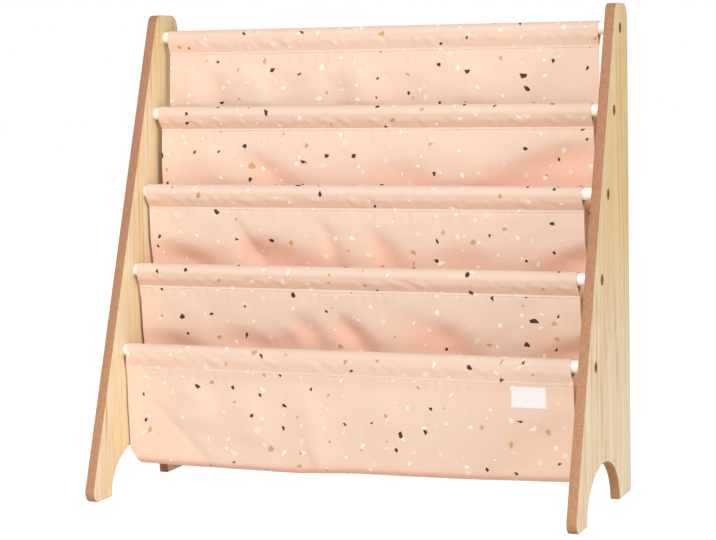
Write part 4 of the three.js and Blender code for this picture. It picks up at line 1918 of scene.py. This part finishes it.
    def sleeve_profile(self) -> tuple[Array, Array]:
        """The sleeve's section (y, drop side z) round its rod, front seam edge to rear seam edge.

        An arc round the rod closed by two straight runs that touch it and meet, layer on layer,
        at the seam strip.

        Returns:
            The section's points and, for each, how near it is to the seam, 0 on the rod's top.
        """
        radius, flat, drop = self.sizes.rod_radius + self.sleeve_gap, self.sleeve_half, self.strip_drop
        tangent = math.acos(radius / math.hypot(drop, flat)) + math.atan2(flat, drop)
        first = -math.pi / 2 - tangent
        angle = np.linspace(first, first - 2 * (math.pi - tangent), self.arc_rows)
        arc = radius * np.stack([np.cos(angle), np.sin(angle)], axis=1)
        run = np.linspace([-flat, -drop], arc[0], self.run_rows)[:-1]
        strip = np.linspace([-flat, -self.seam_drop], [-flat, -drop], self.strip_rows)[:-1]
        front = np.concatenate([strip, run])
        section = np.concatenate([front, arc, front[::-1] * np.array([-1, 1])])
        near = smooth_step((-section[:, 1] - self.sleeve_top) / (self.seam_drop - 2 * self.sleeve_top))
        return section, near

    def sleeve_sheet(self, rod: int) -> SheetPiece:
        """Shapes a sleeve's middle surface, a little slack and gathered towards its seam.

        The section bulges outward by the slack and the gathers, most at the start of its flanks,
        and leans about the rod so that its seam hangs at its own setback.

        Args:
            rod: the rod's number, 0 at the top.

        Returns:
            The sheet.
        """
        axis, seam, across = self.sizes.rod(rod), self.strip_drop, self.grid_across
        section, near = self.sleeve_profile()
        x = across * self.half_width
        slope = np.gradient(section, axis=0)
        outward = np.stack([-slope[:, 1], slope[:, 0]], axis=1)
        outward /= np.linalg.norm(outward, axis=1, keepdims=True)
        below = np.clip((-section[:, 1] - self.sleeve_top) / (seam - self.sleeve_top), 0, 1)
        run = 2 * (1 - below) * smooth_step(below / self.slack_start)
        slack = self.slack + self.slackness.over(rod, x)
        grid_x, height = np.broadcast_arrays(x[None, :], section[:, 1:])
        bulge = run[:, None] * (self.gather.over(rod, grid_x, height) + slack[None, :])
        flat = section[:, None] + outward[:, None] * bulge[..., None]
        lean = math.asin(self.seam_offset(rod) / seam)
        held = np.maximum(flat[..., 1], -seam)
        points = np.empty((*bulge.shape, 3))
        points[:, :, 0] = self.middle(rod) + x + self.flare(rod, across) * near[:, None]
        points[:, :, 1] = axis.y + flat[..., 0] * math.cos(lean) - held * math.sin(lean)
        hung = flat[..., 0] * math.sin(lean) + held * math.cos(lean) + flat[..., 1] - held
        points[:, :, 2] = axis.z + hung
        places = self.cloth_places(rod, length_along(section) + self.sleeve_print)
        lip = self.lip * smooth_step((self.lip_run - self.seam_drop - section[:, 1]) / self.lip_run)
        thickness = self.cloth + self.hem_step * self.in_hem(across) + 2 * lip[:, None]
        # Painted shade: the sleeve's flanks darken towards the seam, under the rod
        shade = self.sleeve_shade * self.shades[rod] * smooth_step(below / self.sleeve_shade_run)
        painted_shade = np.broadcast_to((shade * (section[:, 1] > -seam))[:, None], bulge.shape)
        return SheetPiece(points, places, thickness, painted_shade)

    def label_sheet(self) -> SheetPiece:
        """Lays the label's middle surface on the front of the lowest pocket's front wall.

        Returns:
            The sheet.
        """
        label = self.label
        right = self.half_width - label.from_right
        x = np.linspace(right - label.width, right, label.columns)
        from_top = np.linspace(label.height, 0, label.rows)[:, None]
        drop = self.seam_drop + label.below_seam + from_top
        across, level = np.broadcast_arrays(x / self.half_width, drop)
        side = self.wall(self.sizes.rod_count - 2, Wall.FRONT, across, level)
        points = np.empty((label.rows, label.columns, 3))
        points[:, :, 0] = self.middle(self.sizes.rod_count - 1) + x
        points[:, :, 1] = side[..., 0] - self.cloth / 2 - label.thick / 2 - label.gap
        points[:, :, 2] = side[..., 1]
        places = np.stack(np.broadcast_arrays(x[None, :], -drop), axis=-1)
        edge = np.minimum(from_top, label.height - from_top)
        fold = 1 - smooth_step((edge - label.turned_in) / label.turn_run)
        thickness = label.thick * (label.single + label.doubled * fold)
        return SheetPiece(points, places, np.broadcast_to(thickness, across.shape))

    def hem_rows(self, sheet: SheetPiece) -> list[Array]:
        """Lays stitch rows down both hems of a sheet, on both of its faces.

        Args:
            sheet: the sheet.

        Returns:
            The rows' stitches.
        """
        inset = self.hem - self.hem_stitch_inset
        column = int(round(inset / (2 * self.half_width) * self.columns))
        rows = []
        for place in (column, self.columns - column):
            for side in (1, -1):
                path = sheet.face_points(side)[:, place]
                rows.append(self.stitching.row(path, side * sheet.normals()[:, place]))
        return rows

    def build(self, materials: Materials) -> None:
        """Builds all cloth pieces and their stitches, and measures each sheet's flat size.

        Args:
            materials: the finishes, by the name of their use.
        """
        cloth, thread = materials["cloth"], materials["thread"]
        for rod in range(self.sizes.rod_count):
            sheet = self.sleeve_sheet(rod)
            piece = sheet.build(f"sleeve_cloth_{rod + 1}", cloth)
            outside, normals = sheet.face_points(1), sheet.normals()
            edges = (self.seam_row, len(outside) - 1 - self.seam_row)
            rows = [self.stitching.row(outside[row], normals[row]) for row in edges]
            seam = self.stitching.build(f"sleeve_stitches_{rod + 1}", rows, thread)
            install(piece, "cloth", f"rod_sleeve_{rod + 1}")
            install(seam, "cloth")
            sheet.flat_size()
        for pocket in range(self.sizes.rod_count - 1):
            sheet = self.pocket_sheet(pocket)
            piece = sheet.build(f"pocket_cloth_{pocket + 1}", cloth)
            hems = self.stitching.build(f"pocket_hem_stitches_{pocket + 1}", self.hem_rows(sheet), thread)
            install(piece, "cloth", f"pocket_{pocket + 1}")
            install(hems, "cloth")
            sheet.flat_size()
        sheet, fine = self.label_sheet(), self.label.stitching
        label = sheet.build("label_tape", materials["tape"])
        outside, normals = sheet.face_points(-1), sheet.normals()
        rows = [fine.row(outside[:, column], -normals[:, column]) for column in self.label.stitch_columns]
        tacks = fine.build("label_stitches", rows, materials["tape_thread"])
        install(label, "label", "sewn_label")
        install(tacks, "label")
        sheet.flat_size()


# Stage
@dataclass(frozen=True)
class Lamp:
    """A square soft lamp that faces a target, with its side in metres and its power in watts."""

    name: str
    place: tuple[float, float, float]
    target: tuple[float, float, float]
    size: float
    power: float

    def build(self) -> None:
        """Adds the lamp to the scene."""
        data = bpy.data.lights.new(self.name, "AREA")
        data.shape = "SQUARE"
        data.size = self.size
        data.energy = self.power
        lamp = bpy.data.objects.new(self.name, data)
        aim = (Vector(self.target) - Vector(self.place)).to_track_quat("-Z", "Y")
        lamp.matrix_world = Matrix.Translation(Vector(self.place)) @ aim.to_matrix().to_4x4()
        bpy.context.scene.collection.objects.link(lamp)


@dataclass(frozen=True)
class Studio:
    """White studio: floor, sky, soft lamps and the camera of the photograph."""

    frame_pixels: tuple[int, int] = (716, 540)
    focal_pixels: float = 2048.12
    axis_row_pixel: float = 200.0
    place: tuple[float, float, float] = (908.90 * MM, -2370.23 * MM, 537.32 * MM)
    yaw: float = math.radians(20.883)
    pitch: float = math.radians(3.714)
    roll: float = math.radians(-0.970)
    sensor: float = 36.0
    nearest: float = 0.05
    farthest: float = 50.0
    floor_half: float = 6.0
    floor_colour: Colour = (0.86, 0.79, 0.74, 1.0)
    floor_glow: float = 1.28
    glow_share: float = 0.75
    sky_level: float = 0.28
    sky_colour: Colour = (1.0, 0.86, 0.79, 1.0)
    lamps: tuple[Lamp, ...] = (
        Lamp("key_lamp", (0.4, -4.8, 3.4), (0.0, 0.0, 0.2), 2.6, 224.0),
        Lamp("fill_lamp", (4.7, -1.4, 0.5), (0.0, 0.0, 0.2), 2.2, 99.0),
        Lamp("back_lamp", (-3.6, 3.2, 2.8), (0.0, 0.0, 0.3), 2.4, 115.0),
    )

    def camera(self) -> None:
        """The camera: forward, right and up are worked out from yaw, pitch and roll."""
        forward = Vector((
            -math.sin(self.yaw) * math.cos(self.pitch),
            math.cos(self.yaw) * math.cos(self.pitch),
            -math.sin(self.pitch),
        ))
        right = Vector((math.cos(self.yaw), math.sin(self.yaw), 0.0))
        up = right.cross(forward)
        right_rolled = right * math.cos(self.roll) + up * math.sin(self.roll)
        up_rolled = up * math.cos(self.roll) - right * math.sin(self.roll)
        data = bpy.data.cameras.new("camera")
        data.sensor_width = self.sensor
        data.lens = self.focal_pixels * self.sensor / self.frame_pixels[0]
        data.shift_y = (self.axis_row_pixel - self.frame_pixels[1] / 2) / self.frame_pixels[0]
        data.clip_start, data.clip_end = self.nearest, self.farthest
        camera = bpy.data.objects.new("camera", data)
        turn = Matrix((right_rolled, up_rolled, -forward)).transposed().to_4x4()
        camera.matrix_world = Matrix.Translation(Vector(self.place)) @ turn
        bpy.context.scene.collection.objects.link(camera)
        bpy.context.scene.camera = camera

    @staticmethod
    def seen(shade: Shade) -> Socket:
        """1 for rays from the camera, from a gloss or through a clear piece, 0 for all others.

        Args:
            shade: the tree that needs it.

        Returns:
            The value.
        """
        path = shade.node("ShaderNodeLightPath").outputs
        seen = shade.math("MAXIMUM", path["Is Camera Ray"], path["Is Glossy Ray"])
        return shade.math("MAXIMUM", seen, path["Is Transmission Ray"])

    def floor(self) -> None:
        """A white floor that keeps a soft shadow and reads as white to the camera."""
        half = self.floor_half
        points = np.array([[-half, -half, 0], [half, -half, 0], [half, half, 0], [-half, half, 0]])
        material = bpy.data.materials.new("studio_floor")
        material.use_nodes = True
        shade = Shade(material.node_tree)
        shade.tree.nodes.clear()
        share = shade.math("MULTIPLY", self.seen(shade), self.glow_share)
        diffuse = shade.node("ShaderNodeBsdfDiffuse", self.floor_colour)
        glow = shade.node("ShaderNodeEmission", WHITE, self.floor_glow)
        mix = shade.node("ShaderNodeMixShader", share, diffuse.outputs[0], glow.outputs[0])
        shade.node("ShaderNodeOutputMaterial", mix.outputs[0])
        plane = make_mesh("studio_floor", points, [np.array([[0, 1, 2, 3]])], [material])

    def sky(self) -> None:
        """Even white surroundings: full white to the camera, a plain level on the object."""
        world = bpy.data.worlds.new("studio")
        bpy.context.scene.world = world
        world.use_nodes = True
        shade = Shade(world.node_tree)
        shade.tree.nodes.clear()
        seen = self.seen(shade)
        colour = shade.blend(seen, self.sky_colour, WHITE)
        lift = shade.math("MULTIPLY", seen, 1.0 - self.sky_level)
        sky = shade.node("ShaderNodeBackground", colour, shade.math("ADD", self.sky_level, lift))
        shade.node("ShaderNodeOutputWorld", sky.outputs[0])

    def build(self) -> None:
        """Builds camera, floor, sky and lamps, with the plain view transform."""
        bpy.context.scene.view_settings.view_transform = "Standard"
        self.camera()
        self.floor()
        self.sky()
        for lamp in self.lamps:
            lamp.build()


def make_materials() -> Materials:
    """Makes all finishes of the shelf.

    Returns:
        The materials, by the name of their use.
    """
    groups = {
        "chips": chip_group(ChipCut()),
        "weave": weave_group(),
        "grain": grain_group(),
        "mottle": mottle_group(),
    }
    white, off_white = srgb(253, 252, 250), srgb(249, 248, 246)
    bronze, dark_bronze = srgb(148, 102, 50), srgb(104, 70, 34)
    black, soft_black = srgb(52, 52, 54), srgb(40, 40, 42)
    finishes = {
        "cloth": ClothFinish(),
        "thread": ThreadFinish(),
        "tape_thread": ThreadFinish("label_thread", srgb(248, 247, 244), srgb(226, 224, 220)),
        "tape": TapeFinish(),
        "face": BoardFaceFinish(),
        "edge": BoardEdgeFinish(),
        "coat": CoatFinish("white_powder_coat", white, off_white, 0.3, 180.0, 1500.0, 0.03 * MM, coat=0.3),
        "plate": CoatFinish("bronze_plate", bronze, dark_bronze, 0.6, 400.0, 2400.0, 0.02 * MM, metallic=0.5),
        "plastic": CoatFinish("black_plastic", black, soft_black, 0.6, 300.0, 1800.0, 0.03 * MM),
    }
    return {use: finish.material(groups) for use, finish in finishes.items()}


def main() -> None:
    """Builds the studio and every part of the shelf."""
    logging.basicConfig(level=logging.INFO, format="%(name)s: %(message)s")
    Studio().build()
    sizes = ShelfSizes()
    materials = make_materials()
    for side in Side:
        SideBoard(sizes, side).build(materials["face"], materials["edge"])
    CrossRods(sizes).build(materials)
    Sling(sizes).build(materials)


if __name__ == "__main__":
    main()
